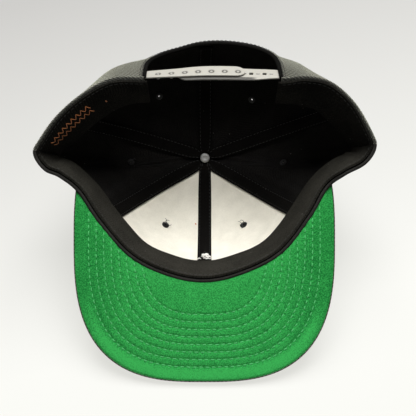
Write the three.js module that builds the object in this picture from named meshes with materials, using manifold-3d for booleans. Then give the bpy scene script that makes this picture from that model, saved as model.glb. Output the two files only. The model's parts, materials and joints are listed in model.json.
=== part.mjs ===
// A flat-brimmed snapback cap lying upside down: it rests on the front edge of its brim and on the
// front of its crown, so its inside shows. Millimetres.
// Cap frame: X across to the wearer's right, Y forward along the brim, Z from the brim's green face
// to the top of the crown. Zero is the middle of the seam between brim and crown.
import * as THREE from 'three';
import { mergeVertices } from 'three/addons/utils/BufferGeometryUtils.js';
import Module from 'manifold-3d';

const wasm = await Module();
wasm.setup();

// Crown
const HALF_SPAN = 118;
const RIM_DEPTH = 142;
const CROWN_DEPTH = 107;
const BUTTON_BACK = 93.7;
const CLOTH = 1.2;
const GAP = 0.3;
const PANEL_SWELL = 1.2;
const TOP_OPENING = 3.6;

// Brim
const BRIM_HALF_WIDTH = 92.4;
const BRIM_LENGTH = 71;
const BRIM_CENTRE_BACK = 30;
const BRIM_ROUNDNESS = 2.87;
const BRIM_BOARD = 2.8;
const BRIM_GAP = 0.5;
const BRIM_UNDER_CLOTH = 1.1;
const BRIM_UNDER_INSET = 1.1;

// Inside of the crown
const BUCKRAM = 1;
const TAPE = 1;
const TAPE_WIDTH = 11.2;
const LINING_GAP = 0.45;
const LINING_START = 10;
const BAND = 1.4;
const BAND_HEIGHT = 28;
const HEM_WIDTH = 2.4;
const HEM_HEIGHT = 1.4;

// Rear opening
const ARCH_HEIGHT = 52;
const ARCH_STRAIGHT = 12;
const BINDING_WIDTH = 2.4;

// Snap strap
const STRAP = 1.2;
const STRAP_HEIGHT = 13.6;
const STRAP_GAP = 0.6;
const STRAP_TUCK = 11;
const STRAP_END = 5;
const PEG_COUNT = 7;
const PEG_PITCH = 9.4;
const FIRST_PEG = 9.3;
const FIRST_HOLE = 2;
const PEG_SIZE = 2.1;
const PEG_HEIGHT = 2.6;
const PEG_CLEARANCE = 0.35;
const DIMPLE_RADIUS = 1.3;
const DIMPLE_DEPTH = 0.5;

// Eyelets and button
const EYELET_RADIUS = 3.1;
const EYELET_NECK = 2;
const EYELET_HOLE = 1.3;
const EYELET_RIM = 0.5;
const EYELET_GAP = 0.8;
const BUTTON_RADIUS = 7.5;
const BUTTON_HEIGHT = 4.2;
const RIVET_RADIUS = 3.9;
const RIVET_STEM = 1.5;
const RIVET_HEIGHT = 1.8;

/** Rows of numbers under named columns, as objects. */
function table(columns, rows) {
  return rows.map((row) => Object.fromEntries(columns.map((column, index) => [column, row[index]])));
}

// The rim from the front seam over the wearer's left to the rear seam and back over the right.
// across, back, up and the two pulls are shares of HALF_SPAN, RIM_DEPTH and CROWN_DEPTH; lean tips the
// crown's wall outward, tuck tips the sweatband inward and turn is the way round the button, in degrees.
const RIM = table(
  ['across', 'back', 'up', 'lean', 'rimPull', 'topPull', 'turn', 'tuck'],
  [
    [0, 0, 0, -12, 0.67, 0.62, 0, 15],
    [-0.227, 0.034, 0, -12, 0.66, 0.6, 20, 15],
    [-0.448, 0.128, 0, -12, 0.64, 0.58, 40, 15],
    [-0.634, 0.3, 0, -10, 0.6, 0.56, 61, 14.5],
    [-0.752, 0.446, -0.01, -7, 0.54, 0.56, 71, 12.5],
    [-0.86, 0.52, -0.04, -8, 0.5, 0.56, 77, 15],
    [-0.945, 0.555, -0.065, -2, 0.5, 0.56, 83, 12],
    [-1.01, 0.635, -0.075, 6, 0.52, 0.56, 89, 5],
    [-0.97, 0.706, -0.085, 7, 0.53, 0.56, 97, 13],
    [-0.87, 0.817, -0.095, 7, 0.58, 0.58, 108, 28],
    [-0.726, 0.92, -0.1, 13, 0.7, 0.6, 122, 30],
    [-0.551, 0.997, -0.103, 26, 0.82, 0.64, 137, 26],
    [-0.354, 1.004, -0.103, 33, 0.9, 0.68, 150, 18],
    [-0.176, 1.008, -0.1, 38, 0.94, 0.7, 166, 18],
    [0.01, 1.01, -0.095, 45, 0.96, 0.7, 180, 18],
    [0.241, 1.008, -0.1, 44, 0.96, 0.7, 196, 18],
    [0.454, 0.999, -0.103, 39, 0.92, 0.68, 211, 18],
    [0.598, 1.009, -0.103, 28, 0.84, 0.64, 224, 26],
    [0.75, 0.98, -0.1, 12, 0.7, 0.6, 238, 30],
    [0.887, 0.881, -0.095, 6, 0.58, 0.58, 251, 28],
    [0.988, 0.742, -0.085, 7, 0.53, 0.56, 263, 13],
    [1.016, 0.665, -0.075, 6, 0.52, 0.56, 271, 5],
    [0.95, 0.584, -0.065, -2, 0.5, 0.56, 277, 12],
    [0.837, 0.531, -0.04, -8, 0.5, 0.56, 283, 15],
    [0.734, 0.465, -0.01, -7, 0.54, 0.56, 290, 12.5],
    [0.633, 0.32, 0, -10, 0.6, 0.56, 301, 14.5],
    [0.46, 0.142, 0, -12, 0.64, 0.58, 320, 15],
    [0.227, 0.04, 0, -12, 0.66, 0.6, 340, 15],
  ],
);
const TOP_SLOPE = 14;
const ROWS = RIM.length;

// Rows of the rim table where the seams and the tabs beside the rear opening are.
const SEAM = { front: 0, frontLeft: 3, rearLeft: 9, rear: 14, rearRight: 19, frontRight: 25 };
const TAB = { left: 12, right: 16 };

const BUTTON = new THREE.Vector3(0, -BUTTON_BACK, CROWN_DEPTH);
const radians = THREE.MathUtils.degToRad;

// How finely lengths, slopes and heights on the curved crown are worked out.
const NEAR = 0.01;
const MEASURING_STEPS = 24;

/** One column of the rim table at any place round the rim, smoothly between its rows. */
function column(name, place) {
  const row = Math.floor(place);
  const between = place - row;
  const at = (step) => {
    const index = row + step;
    const wrapped = ((index % ROWS) + ROWS) % ROWS;
    const laps = name === 'turn' ? 360 * Math.floor(index / ROWS) : 0;
    return RIM[wrapped][name] + laps;
  };
  const [before, from, to, after] = [at(-1), at(0), at(1), at(2)];
  const slopeFrom = (to - before) / 2;
  const slopeTo = (after - from) / 2;
  const square = between * between;
  const cube = square * between;
  return (2 * cube - 3 * square + 1) * from + (cube - 2 * square + between) * slopeFrom
    + (3 * square - 2 * cube) * to + (cube - square) * slopeTo;
}

/** Point of the rim in the cap frame. */
function rimPoint(place) {
  return new THREE.Vector3(
    column('across', place) * HALF_SPAN,
    -column('back', place) * RIM_DEPTH,
    column('up', place) * CROWN_DEPTH,
  );
}

/** Level direction that points out of the crown, square to the rim. */
function rimOutward(place) {
  const along = rimPoint(place + 2 * NEAR).sub(rimPoint(place - 2 * NEAR));
  return new THREE.Vector3(along.y, -along.x, 0).normalize();
}

/** Outer face of the crown: height runs from 0 at the rim to 1 at the button. */
function crownBase(place, height) {
  const rim = rimPoint(place);
  const lean = radians(column('lean', place));
  const turn = radians(column('turn', place));
  const slope = radians(TOP_SLOPE);
  const rimHandle = rimOutward(place).multiplyScalar(Math.sin(lean)).setZ(Math.cos(lean));
  const topHandle = new THREE.Vector3(
    -Math.sin(turn) * Math.cos(slope),
    Math.cos(turn) * Math.cos(slope),
    -Math.sin(slope),
  );
  const curve = new THREE.CubicBezierCurve3(
    rim,
    rim.clone().addScaledVector(rimHandle, column('rimPull', place) * CROWN_DEPTH),
    BUTTON.clone().addScaledVector(topHandle, column('topPull', place) * CROWN_DEPTH),
    BUTTON,
  );
  return curve.getPoint(height);
}

/** Outward normal of a surface given as a function of place and height. */
function normalOf(surface, place, height) {
  const around = surface(place + NEAR, height).sub(surface(place - NEAR, height));
  const upTo = Math.min(height + NEAR, 1 - NEAR);
  const upward = surface(place, upTo).sub(surface(place, upTo - 2 * NEAR));
  return around.cross(upward).normalize();
}

const SEAM_ROWS = [...Object.values(SEAM), ROWS];

/** How far a panel swells out between its two seams. */
function swell(place, height) {
  const wrapped = ((place % ROWS) + ROWS) % ROWS;
  const next = SEAM_ROWS.findIndex((row) => row > wrapped);
  const start = SEAM_ROWS[next - 1];
  const share = (wrapped - start) / (SEAM_ROWS[next] - start);
  return PANEL_SWELL * Math.sin(Math.PI * share) * Math.sin(Math.PI * height);
}

/** Crown surface at a depth inside its outer face. */
function crown(place, height, depth = 0) {
  const point = crownBase(place, height);
  return point.addScaledVector(normalOf(crownBase, place, height), swell(place, height) - depth);
}

/** Length of the crown from the rim to a height. */
function lengthTo(place, height) {
  let length = 0;
  let last = crownBase(place, 0);
  for (let step = 1; step <= MEASURING_STEPS; step += 1) {
    const next = crownBase(place, (height * step) / MEASURING_STEPS);
    length += next.distanceTo(last);
    last = next;
  }
  return length;
}

/** Height share that lies a given length above the rim. */
function heightAt(place, length) {
  let low = 0;
  let high = 1;
  for (let step = 0; step < MEASURING_STEPS; step += 1) {
    const middle = (low + high) / 2;
    if (lengthTo(place, middle) < length) low = middle;
    else high = middle;
  }
  return (low + high) / 2;
}

/** Place that lies a given distance round the crown from a place, at one height. */
function shifted(place, height, distance) {
  const reach = crownBase(place + 2 * NEAR, height).distanceTo(crownBase(place - 2 * NEAR, height));
  return place + (distance * 4 * NEAR) / reach;
}

/** Closed solid between two point grids of the same size, rows by columns. */
function shell(outer, inner) {
  const rows = outer.length;
  const columns = outer[0].length;
  const points = [...outer.flat(), ...inner.flat()];
  const offset = rows * columns;
  const index = [];
  const quad = (a, b, c, d) => index.push(a, b, c, a, c, d);
  const at = (row, step) => row * columns + step;
  for (let row = 0; row < rows - 1; row += 1) {
    for (let step = 0; step < columns - 1; step += 1) {
      const [a, b, c, d] = [at(row, step), at(row, step + 1), at(row + 1, step + 1), at(row + 1, step)];
      quad(a, b, c, d);
      quad(offset + a, offset + d, offset + c, offset + b);
    }
  }
  for (let step = 0; step < columns - 1; step += 1) {
    const [low, lowNext] = [at(0, step), at(0, step + 1)];
    const [high, highNext] = [at(rows - 1, step), at(rows - 1, step + 1)];
    quad(low, offset + low, offset + lowNext, lowNext);
    quad(high, highNext, offset + highNext, offset + high);
  }
  for (let row = 0; row < rows - 1; row += 1) {
    const [left, leftNext] = [at(row, 0), at(row + 1, 0)];
    const [right, rightNext] = [at(row, columns - 1), at(row + 1, columns - 1)];
    quad(left, leftNext, offset + leftNext, offset + left);
    quad(right, offset + right, offset + rightNext, rightNext);
  }
  return solidOf(points, index);
}

/** Closed geometry of points and the triangles between them. */
function solidOf(points, index) {
  const geometry = new THREE.BufferGeometry();
  geometry.setAttribute('position', new THREE.Float32BufferAttribute(points.flatMap((p) => p.toArray()), 3));
  geometry.setIndex(index);
  return turnedOutward(geometry);
}

/** The same closed geometry with its faces pointing out. */
function turnedOutward(geometry) {
  const position = geometry.getAttribute('position');
  const index = geometry.getIndex().array;
  const [a, b, c] = [new THREE.Vector3(), new THREE.Vector3(), new THREE.Vector3()];
  let volume = 0;
  for (let corner = 0; corner < index.length; corner += 3) {
    a.fromBufferAttribute(position, index[corner]);
    b.fromBufferAttribute(position, index[corner + 1]);
    c.fromBufferAttribute(position, index[corner + 2]);
    volume += a.dot(b.cross(c));
  }
  if (volume < 0) geometry.setIndex(Array.from(index).reverse());
  return geometry;
}

/** Grid of points: steps from 0 to 1 both ways, mapped by a function of (along, up). */
function grid(columns, rows, point) {
  return Array.from({ length: rows + 1 }, (_, row) => (
    Array.from({ length: columns + 1 }, (__, step) => point(step / columns, row / rows))
  ));
}

function toManifold(geometry) {
  const bare = geometry.clone();
  bare.deleteAttribute('normal');
  bare.deleteAttribute('uv');
  const merged = mergeVertices(bare, 1e-4);
  return new wasm.Manifold(new wasm.Mesh({
    numProp: 3,
    vertProperties: new Float32Array(merged.getAttribute('position').array),
    triVerts: new Uint32Array(merged.getIndex().array),
  }));
}

function fromManifold(solid) {
  const mesh = solid.getMesh();
  const geometry = new THREE.BufferGeometry();
  geometry.setAttribute('position', new THREE.BufferAttribute(mesh.vertProperties, 3));
  geometry.setIndex(new THREE.BufferAttribute(mesh.triVerts, 1));
  return geometry;
}

/** Length of a tool that cuts through every layer of cloth or plastic. */
const THROUGH = 10;

/** A geometry with others cut out of it. */
function cut(geometry, tools) {
  return fromManifold(tools.reduce((solid, tool) => solid.subtract(toManifold(tool)), toManifold(geometry)));
}

/** A geometry made one with others. */
function joined(geometry, others) {
  return fromManifold(others.reduce((solid, other) => solid.add(toManifold(other)), toManifold(geometry)));
}

/** A geometry turned so that its Z axis follows a direction, and moved to a point. */
function placed(geometry, point, direction, upward = new THREE.Vector3(0, 0, 1)) {
  const side = new THREE.Vector3().crossVectors(upward, direction).normalize();
  const top = new THREE.Vector3().crossVectors(direction, side).normalize();
  const matrix = new THREE.Matrix4().makeBasis(side, top, direction).setPosition(point);
  return geometry.applyMatrix4(matrix);
}

const cap = new THREE.Group();

const MATERIALS = {
  crownCloth: new THREE.MeshStandardMaterial({ color: 0x141414, roughness: 0.92, metalness: 0 }),
  greenCloth: new THREE.MeshStandardMaterial({ color: 0x0f9448, roughness: 0.88, metalness: 0 }),
  buckram: new THREE.MeshStandardMaterial({ color: 0xe0dacb, roughness: 0.9, metalness: 0 }),
  bandCloth: new THREE.MeshStandardMaterial({ color: 0x1d1c1a, roughness: 0.9, metalness: 0 }),
  tapeCloth: new THREE.MeshStandardMaterial({ color: 0x191816, roughness: 0.95, metalness: 0 }),
  thread: new THREE.MeshStandardMaterial({ color: 0x0c0c0c, roughness: 0.8, metalness: 0 }),
  strapPlastic: new THREE.MeshStandardMaterial({ color: 0xddd8c9, roughness: 0.45, metalness: 0 }),
  rivetMetal: new THREE.MeshStandardMaterial({ color: 0x8e9090, roughness: 0.4, metalness: 0.9 }),
};

function addPiece(name, geometry, material) {
  const mesh = new THREE.Mesh(geometry, MATERIALS[material]);
  mesh.name = name;
  cap.add(mesh);
}

// Depths of the layers inside the crown's outer face.
const BUCKRAM_DEPTH = CLOTH + GAP;
const TAPE_DEPTH = BUCKRAM_DEPTH + BUCKRAM + LINING_GAP;
const BAND_DEPTH = TAPE_DEPTH + TAPE + GAP;

/** Height of the ring of radius TOP_OPENING round the button, where the crown's cloth ends. */
function topHeight(place) {
  return heightAt(place, lengthTo(place, 1) - TOP_OPENING);
}

/** Height just above the hem, where the crown's cloth starts. */
function wallHeight(place) {
  return heightAt(place, HEM_HEIGHT + GAP);
}

/** Heights spaced evenly from a lower to an upper one. */
function evenHeights(low, high, rows) {
  return Array.from({ length: rows + 1 }, (_, row) => low + ((high - low) * row) / rows);
}

/** Solid of cloth on the crown between two places, its side edges moved in by margins. */
function crownSheet({
  from, to, columns, depth, thickness, startMargin, endMargin, heights, spread = (along) => along,
}) {
  const placeOf = (step) => from + (to - from) * spread(step / columns);
  const places = Array.from({ length: columns + 1 }, (_, step) => placeOf(step));
  const levels = places.map(heights);
  const face = (layer) => levels[0].map((_, row) => places.map((place, step) => {
    const height = levels[step][row];
    const margin = (step === 0 && startMargin) || (step === columns && -endMargin) || 0;
    return crown(margin ? shifted(place, height, margin) : place, height, layer);
  }));
  return shell(face(depth), face(depth + thickness));
}

// Eyelets: one in each panel; how far each is from the button is a share of CROWN_DEPTH.
const EYELETS = table(
  ['panel', 'place', 'fromButton', 'layers'],
  [
    ['front_left', 1.63, 0.7, CLOTH + GAP + BUCKRAM],
    ['side_left', 6.5, 0.615, CLOTH],
    ['rear_left', 11.3, 0.615, CLOTH],
    ['rear_right', 16.85, 0.6, CLOTH],
    ['side_right', 21.75, 0.655, CLOTH],
    ['front_right', 26.42, 0.7, CLOTH + GAP + BUCKRAM],
  ],
).map((eyelet) => {
  const height = heightAt(eyelet.place, lengthTo(eyelet.place, 1) - eyelet.fromButton * CROWN_DEPTH);
  return {
    ...eyelet,
    height,
    point: crown(eyelet.place, height),
    outward: normalOf(crown, eyelet.place, height),
  };
});

const EYELET_SEGMENTS = 10;

/** Round tool that cuts an eyelet's hole through every layer of cloth. */
function eyeletTool(panel) {
  const eyelet = EYELETS.find((row) => row.panel === panel);
  const tool = new THREE.CylinderGeometry(EYELET_NECK + GAP, EYELET_NECK + GAP, THROUGH, EYELET_SEGMENTS);
  return placed(tool.rotateX(Math.PI / 2), eyelet.point, eyelet.outward);
}

/** A stitched eyelet: a sleeve through the cloth with a flat ring on both faces. */
function eyeletBody(eyelet) {
  const top = EYELET_GAP + EYELET_RIM;
  const bottom = -eyelet.layers - EYELET_GAP - EYELET_RIM;
  const profile = [
    [EYELET_HOLE, bottom], [EYELET_RADIUS, bottom], [EYELET_RADIUS, bottom + EYELET_RIM],
    [EYELET_NECK, bottom + EYELET_RIM], [EYELET_NECK, top - EYELET_RIM], [EYELET_RADIUS, top - EYELET_RIM],
    [EYELET_RADIUS, top], [EYELET_HOLE, top], [EYELET_HOLE, bottom],
  ];
  return placed(latheSolid(profile, EYELET_SEGMENTS), eyelet.point, eyelet.outward);
}

/** Closed body turned round Z from a profile of (radius, height) points. */
function latheSolid(profile, segments) {
  const points = profile.map(([radius, height]) => new THREE.Vector2(radius, height));
  const turned = new THREE.LatheGeometry(points, segments);
  return fromManifold(toManifold(turned.rotateX(Math.PI / 2)));
}

// Crown panels
const PANELS = table(
  ['panel', 'from', 'to', 'columns'],
  [
    ['front_left', SEAM.front, SEAM.frontLeft, 8],
    ['side_left', SEAM.frontLeft, SEAM.rearLeft, 12],
    ['side_right', SEAM.rearRight, SEAM.frontRight, 12],
    ['front_right', SEAM.frontRight, ROWS, 8],
  ],
);
const PANEL_ROWS = 10;
const panelCloth = {
  depth: 0,
  thickness: CLOTH,
  heights: (place) => evenHeights(wallHeight(place), topHeight(place), PANEL_ROWS),
};
for (const panel of PANELS) {
  const sheet = crownSheet({ ...panelCloth, ...panel, startMargin: GAP / 2, endMargin: GAP / 2 });
  addPiece(`panel_${panel.panel}`, cut(sheet, [eyeletTool(panel.panel)]), 'crownCloth');
}

// Rear opening: the tabs' straight edges, then an arch over the strap.
const ARCH_MIDDLE = (TAB.left + TAB.right) / 2;
const ARCH_HALF = (TAB.right - TAB.left) / 2;

const ARCH_STEPS = 10;
const BESIDE_COLUMNS = 8;

/** Length up the crown of the rear opening's edge at a place. */
function archRise(place) {
  const side = Math.min(1, Math.abs(place - ARCH_MIDDLE) / ARCH_HALF);
  return ARCH_STRAIGHT + (ARCH_HEIGHT - ARCH_STRAIGHT) * Math.sqrt(1 - side ** 2);
}

const ARCH_ROWS = PANEL_ROWS - 1;
const aboveArch = (place) => evenHeights(heightAt(place, archRise(place)), topHeight(place), ARCH_ROWS);
const besideArch = (place) => [wallHeight(place), ...aboveArch(place)];
const quarter = (along) => (Math.PI / 2) * along;
const rearPanels = table(
  ['panel', 'beside', 'over', 'spread', 'seamMargins', 'archMargins'],
  [
    ['rear_left', [SEAM.rearLeft, TAB.left], [TAB.left, SEAM.rear], (along) => 1 - Math.cos(quarter(along)),
      [GAP / 2, 0], [0, GAP / 2]],
    ['rear_right', [TAB.right, SEAM.rearRight], [SEAM.rear, TAB.right], (along) => Math.sin(quarter(along)),
      [0, GAP / 2], [GAP / 2, 0]],
  ],
);
for (const { panel, beside, over, spread, seamMargins, archMargins } of rearPanels) {
  const side = crownSheet({
    ...panelCloth, from: beside[0], to: beside[1], columns: BESIDE_COLUMNS, heights: besideArch,
    startMargin: seamMargins[0], endMargin: seamMargins[1],
  });
  const top = crownSheet({
    ...panelCloth, from: over[0], to: over[1], columns: ARCH_STEPS, heights: aboveArch, spread,
    startMargin: archMargins[0], endMargin: archMargins[1],
  });
  addPiece(`panel_${panel}`, cut(joined(side, [top]), [eyeletTool(panel)]), 'crownCloth');
}

for (const eyelet of EYELETS) addPiece(`eyelet_${eyelet.panel}`, eyeletBody(eyelet), 'thread');

// Buckram inside the front panels
const liningHeight = (place) => heightAt(place, LINING_START);
for (const panel of PANELS.filter((row) => row.panel.startsWith('front'))) {
  const sheet = crownSheet({
    ...panelCloth, ...panel, depth: BUCKRAM_DEPTH, thickness: BUCKRAM,
    startMargin: GAP / 2, endMargin: GAP / 2,
    heights: (place) => evenHeights(liningHeight(place), topHeight(place), PANEL_ROWS),
  });
  const side = panel.panel.replace('front_', '');
  addPiece(`buckram_${side}`, cut(sheet, [eyeletTool(panel.panel)]), 'buckram');
}

// Seam tapes: as wide as they are until they meet their neighbours beside the button.
const TAPES = table(
  ['name', 'seam', 'before', 'after'],
  [
    ['tape_front', SEAM.front, SEAM.frontRight - ROWS, SEAM.frontLeft],
    ['tape_front_left', SEAM.frontLeft, SEAM.front, SEAM.rearLeft],
    ['tape_rear_left', SEAM.rearLeft, SEAM.frontLeft, SEAM.rear],
    ['tape_rear', SEAM.rear, SEAM.rearLeft, SEAM.rearRight],
    ['tape_rear_right', SEAM.rearRight, SEAM.rear, SEAM.frontRight],
    ['tape_front_right', SEAM.frontRight, SEAM.rearRight, ROWS],
  ],
);

/** Distance a tape may reach from its seam toward a neighbouring seam at a height. */
function tapeReach(seam, neighbour, height) {
  const middle = crown((seam + neighbour) / 2, height, TAPE_DEPTH + TAPE);
  const room = middle.distanceTo(crown(seam, height, TAPE_DEPTH + TAPE)) - GAP;
  return Math.min(TAPE_WIDTH / 2, room);
}

const TAPE_ROWS = 12;

/** One tape from the lining's start to the button; its rows lie closer together near the button. */
function tapeBody({ seam, before, after }) {
  const low = seam === SEAM.rear ? heightAt(seam, ARCH_HEIGHT + GAP) : liningHeight(seam);
  const high = topHeight(seam);
  const face = (layer) => grid(2, TAPE_ROWS, (along, up) => {
    const height = low + (high - low) * (1 - (1 - up) ** 2);
    const side = 2 * along - 1;
    const reach = tapeReach(seam, side < 0 ? before : after, height);
    return crown(shifted(seam, height, side * reach), height, layer);
  });
  return shell(face(TAPE_DEPTH), face(TAPE_DEPTH + TAPE));
}
for (const tape of TAPES) addPiece(tape.name, tapeBody(tape), 'tapeCloth');

// Hem: the rolled edge all along the rim, from tab to tab round the front
const HEM_FROM = TAB.right - ROWS;
const HEM_TO = TAB.left;

/** Closed body swept through loops of points; the first and last loop are its ends. */
function sweptBody(loops) {
  const sides = loops[0].length;
  const points = loops.flat();
  const index = [];
  for (let step = 0; step < loops.length - 1; step += 1) {
    for (let side = 0; side < sides; side += 1) {
      const a = step * sides + side;
      const b = step * sides + ((side + 1) % sides);
      index.push(a, b, b + sides, a, b + sides, a + sides);
    }
  }
  const last = (loops.length - 1) * sides;
  for (let side = 1; side < sides - 1; side += 1) {
    index.push(0, side + 1, side);
    index.push(last, last + side, last + side + 1);
  }
  return solidOf(points, index);
}

const LOOP_SIDES = 6;
const LOOP_SQUARENESS = 0.7;

/** Round-cornered loop of a given width and height about a centre. */
function roundedLoop(centre, across, width, upward, height) {
  return Array.from({ length: LOOP_SIDES }, (_, side) => {
    const angle = (2 * Math.PI * (side + 0.5)) / LOOP_SIDES;
    const soften = (value) => Math.sign(value) * Math.abs(value) ** LOOP_SQUARENESS;
    return centre.clone()
      .addScaledVector(across, (soften(Math.cos(angle)) * width) / 2)
      .addScaledVector(upward, (soften(Math.sin(angle)) * height) / 2);
  });
}

/** Direction up the crown's wall from the rim. */
function wallUp(place) {
  return crownBase(place, 2 * NEAR).sub(crownBase(place, 0)).normalize();
}

const RIM_STEPS = 56;
const hemLoops = Array.from({ length: RIM_STEPS + 1 }, (_, step) => {
  const place = HEM_FROM + ((HEM_TO - HEM_FROM) * step) / RIM_STEPS;
  const outward = normalOf(crownBase, place, 2 * NEAR);
  const centre = rimPoint(place)
    .addScaledVector(outward, -HEM_WIDTH / 2)
    .addScaledVector(wallUp(place), HEM_HEIGHT / 2);
  return roundedLoop(centre, outward, HEM_WIDTH, wallUp(place), HEM_HEIGHT);
});
addPiece('crown_hem', sweptBody(hemLoops), 'crownCloth');

// Sweatband: stitched beside the hem, then folded up inside over the seam tapes
const BAND_PAST_TAB = 0.1;
const BAND_FROM = HEM_FROM - BAND_PAST_TAB;
const BAND_TO = HEM_TO + BAND_PAST_TAB;
const BAND_ROWS = 3;
const bandFace = (layer) => grid(RIM_STEPS, BAND_ROWS, (along, up) => {
  const place = BAND_FROM + (BAND_TO - BAND_FROM) * along;
  const tuck = radians(column('tuck', place));
  const ease = Math.min(1, (up * BAND_HEIGHT) / LINING_START);
  const depth = HEM_WIDTH + GAP + (BAND_DEPTH - HEM_WIDTH - GAP) * ease + layer;
  const inward = rimOutward(place).negate();
  const upright = new THREE.Vector3(0, 0, 1);
  return rimPoint(place)
    .addScaledVector(inward, depth * Math.cos(tuck) + up * BAND_HEIGHT * Math.sin(tuck))
    .addScaledVector(upright, up * BAND_HEIGHT * Math.cos(tuck) - depth * Math.sin(tuck));
});
addPiece('sweatband', shell(bandFace(0), bandFace(BAND)), 'bandCloth');

// Binding: the turned edge round the rear opening, inside the panels' edges
const STRAIGHT_SHARES = [0.15, 0.6];
const ARCH_EDGE = [
  ...STRAIGHT_SHARES.map((share) => [TAB.left, ARCH_STRAIGHT * share]),
  ...Array.from({ length: 2 * ARCH_STEPS + 1 }, (_, step) => {
    const place = ARCH_MIDDLE - ARCH_HALF * Math.cos(quarter(step / ARCH_STEPS));
    return [place, archRise(place)];
  }),
  ...STRAIGHT_SHARES.toReversed().map((share) => [TAB.right, ARCH_STRAIGHT * share]),
].map(([place, length]) => {
  const height = heightAt(place, length);
  return { point: crown(place, height, CLOTH / 2), outward: normalOf(crownBase, place, height) };
});
const bindingLoops = ARCH_EDGE.map(({ point, outward }, step) => {
  const next = ARCH_EDGE[Math.min(step + 1, ARCH_EDGE.length - 1)].point;
  const last = ARCH_EDGE[Math.max(step - 1, 0)].point;
  const along = next.clone().sub(last).normalize();
  const inside = new THREE.Vector3().crossVectors(outward, along).normalize();
  const centre = point.clone().addScaledVector(inside, -(GAP + BINDING_WIDTH / 2));
  return roundedLoop(centre, inside, BINDING_WIDTH, outward, CLOTH);
});
addPiece('arch_binding', sweptBody(bindingLoops), 'crownCloth');

// Brim: a flat board in dark cloth with green cloth under it, closed against the rim
const brimInside = (point) => (
  Math.abs(point.x / BRIM_HALF_WIDTH) ** BRIM_ROUNDNESS
  + Math.abs((point.y + BRIM_CENTRE_BACK) / (BRIM_LENGTH + BRIM_CENTRE_BACK)) ** BRIM_ROUNDNESS < 1
);
const brimEdgePoint = (place) => rimPoint(place).setZ(0).addScaledVector(rimOutward(place), BRIM_GAP);

/** Place where the rim leaves the brim's outline, searched for between two places. */
function brimCorner(inside, outside) {
  let [near, far] = [inside, outside];
  for (let step = 0; step < MEASURING_STEPS; step += 1) {
    const middle = (near + far) / 2;
    if (brimInside(brimEdgePoint(middle))) near = middle;
    else far = middle;
  }
  return near;
}
const BRIM_CORNERS = {
  left: brimCorner(SEAM.frontLeft - 1, SEAM.rearLeft),
  right: brimCorner(SEAM.frontRight + 1 - ROWS, SEAM.rearRight - ROWS),
};

const BRIM_STEPS = 44;

/** Outline of the brim, its outer edge moved in by an inset. */
function brimOutline(inset) {
  const halfWidth = BRIM_HALF_WIDTH - inset;
  const halfLength = BRIM_LENGTH + BRIM_CENTRE_BACK - inset;
  const angleOf = (place) => {
    const point = brimEdgePoint(place);
    const across = Math.abs(point.x / halfWidth) ** (BRIM_ROUNDNESS / 2);
    const along = Math.abs((point.y + BRIM_CENTRE_BACK) / halfLength) ** (BRIM_ROUNDNESS / 2);
    return Math.atan2(along, across);
  };
  const [start, end] = [-angleOf(BRIM_CORNERS.right), Math.PI + angleOf(BRIM_CORNERS.left)];
  const power = (value) => Math.sign(value) * Math.abs(value) ** (2 / BRIM_ROUNDNESS);
  const outer = Array.from({ length: BRIM_STEPS + 1 }, (_, step) => {
    const angle = start + ((end - start) * step) / BRIM_STEPS;
    return new THREE.Vector2(
      halfWidth * power(Math.cos(angle)),
      -BRIM_CENTRE_BACK + halfLength * power(Math.sin(angle)),
    );
  });
  const inner = Array.from({ length: BRIM_STEPS + 1 }, (_, step) => {
    const place = BRIM_CORNERS.left + ((BRIM_CORNERS.right - BRIM_CORNERS.left) * step) / BRIM_STEPS;
    const point = brimEdgePoint(place);
    return new THREE.Vector2(point.x, point.y);
  });
  return new THREE.Shape([...outer, ...inner.slice(1, -1)]);
}

const underCloth = new THREE.ExtrudeGeometry(brimOutline(BRIM_UNDER_INSET), {
  depth: BRIM_UNDER_CLOTH, bevelEnabled: false,
});
addPiece('brim_under', underCloth, 'greenCloth');
const board = new THREE.ExtrudeGeometry(brimOutline(0), { depth: BRIM_BOARD, bevelEnabled: false });
addPiece('brim_top', board.translate(0, 0, BRIM_UNDER_CLOTH + GAP), 'crownCloth');

// Snap strap: two plastic ends that overlap, laid along the rim inside the tabs
const STRAP_STEPS = 60;
const STRAP_RISE = HEM_HEIGHT + GAP;
const STRAP_MIDDLE = STRAP_HEIGHT / 2;
const STRAP_FROM = TAB.left - 1;
const STRAP_TO = TAB.right + 1;
const strapRuler = [{ place: STRAP_FROM, length: 0 }];
for (let step = 1; step <= STRAP_STEPS; step += 1) {
  const place = STRAP_FROM + ((STRAP_TO - STRAP_FROM) * step) / STRAP_STEPS;
  const last = strapRuler[step - 1];
  const reach = (at) => crownBase(at, heightAt(at, STRAP_RISE + STRAP_MIDDLE));
  strapRuler.push({ place, length: last.length + reach(place).distanceTo(reach(last.place)) });
}

/** Length along the strap's line at a place. */
function strapLength(place) {
  const step = strapRuler.findIndex((mark) => mark.place >= place - 1e-9);
  return strapRuler[Math.max(step, 0)].length;
}
const STRAP_ZERO = strapLength(TAB.left);
const STRAP_SPAN = strapLength(TAB.right) - STRAP_ZERO;

/** Place at a distance along the strap from the left tab. */
function strapPlace(distance) {
  const length = distance + STRAP_ZERO;
  const next = Math.max(1, strapRuler.findIndex((mark) => mark.length >= length));
  const [low, high] = [strapRuler[next - 1], strapRuler[next]];
  return low.place + ((high.place - low.place) * (length - low.length)) / (high.length - low.length);
}

/** Point of the strap's face: distance from the left tab, height on the strap and depth. */
function strapPoint(distance, up, depth) {
  const place = strapPlace(distance);
  const height = heightAt(place, STRAP_RISE + up);
  return crownBase(place, height).addScaledVector(normalOf(crownBase, place, height), -depth);
}

const STRAP_COLUMNS = 24;
const STRAP_CROWDING = 1.5;
const STRAP_TIP = 0.8;

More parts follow.
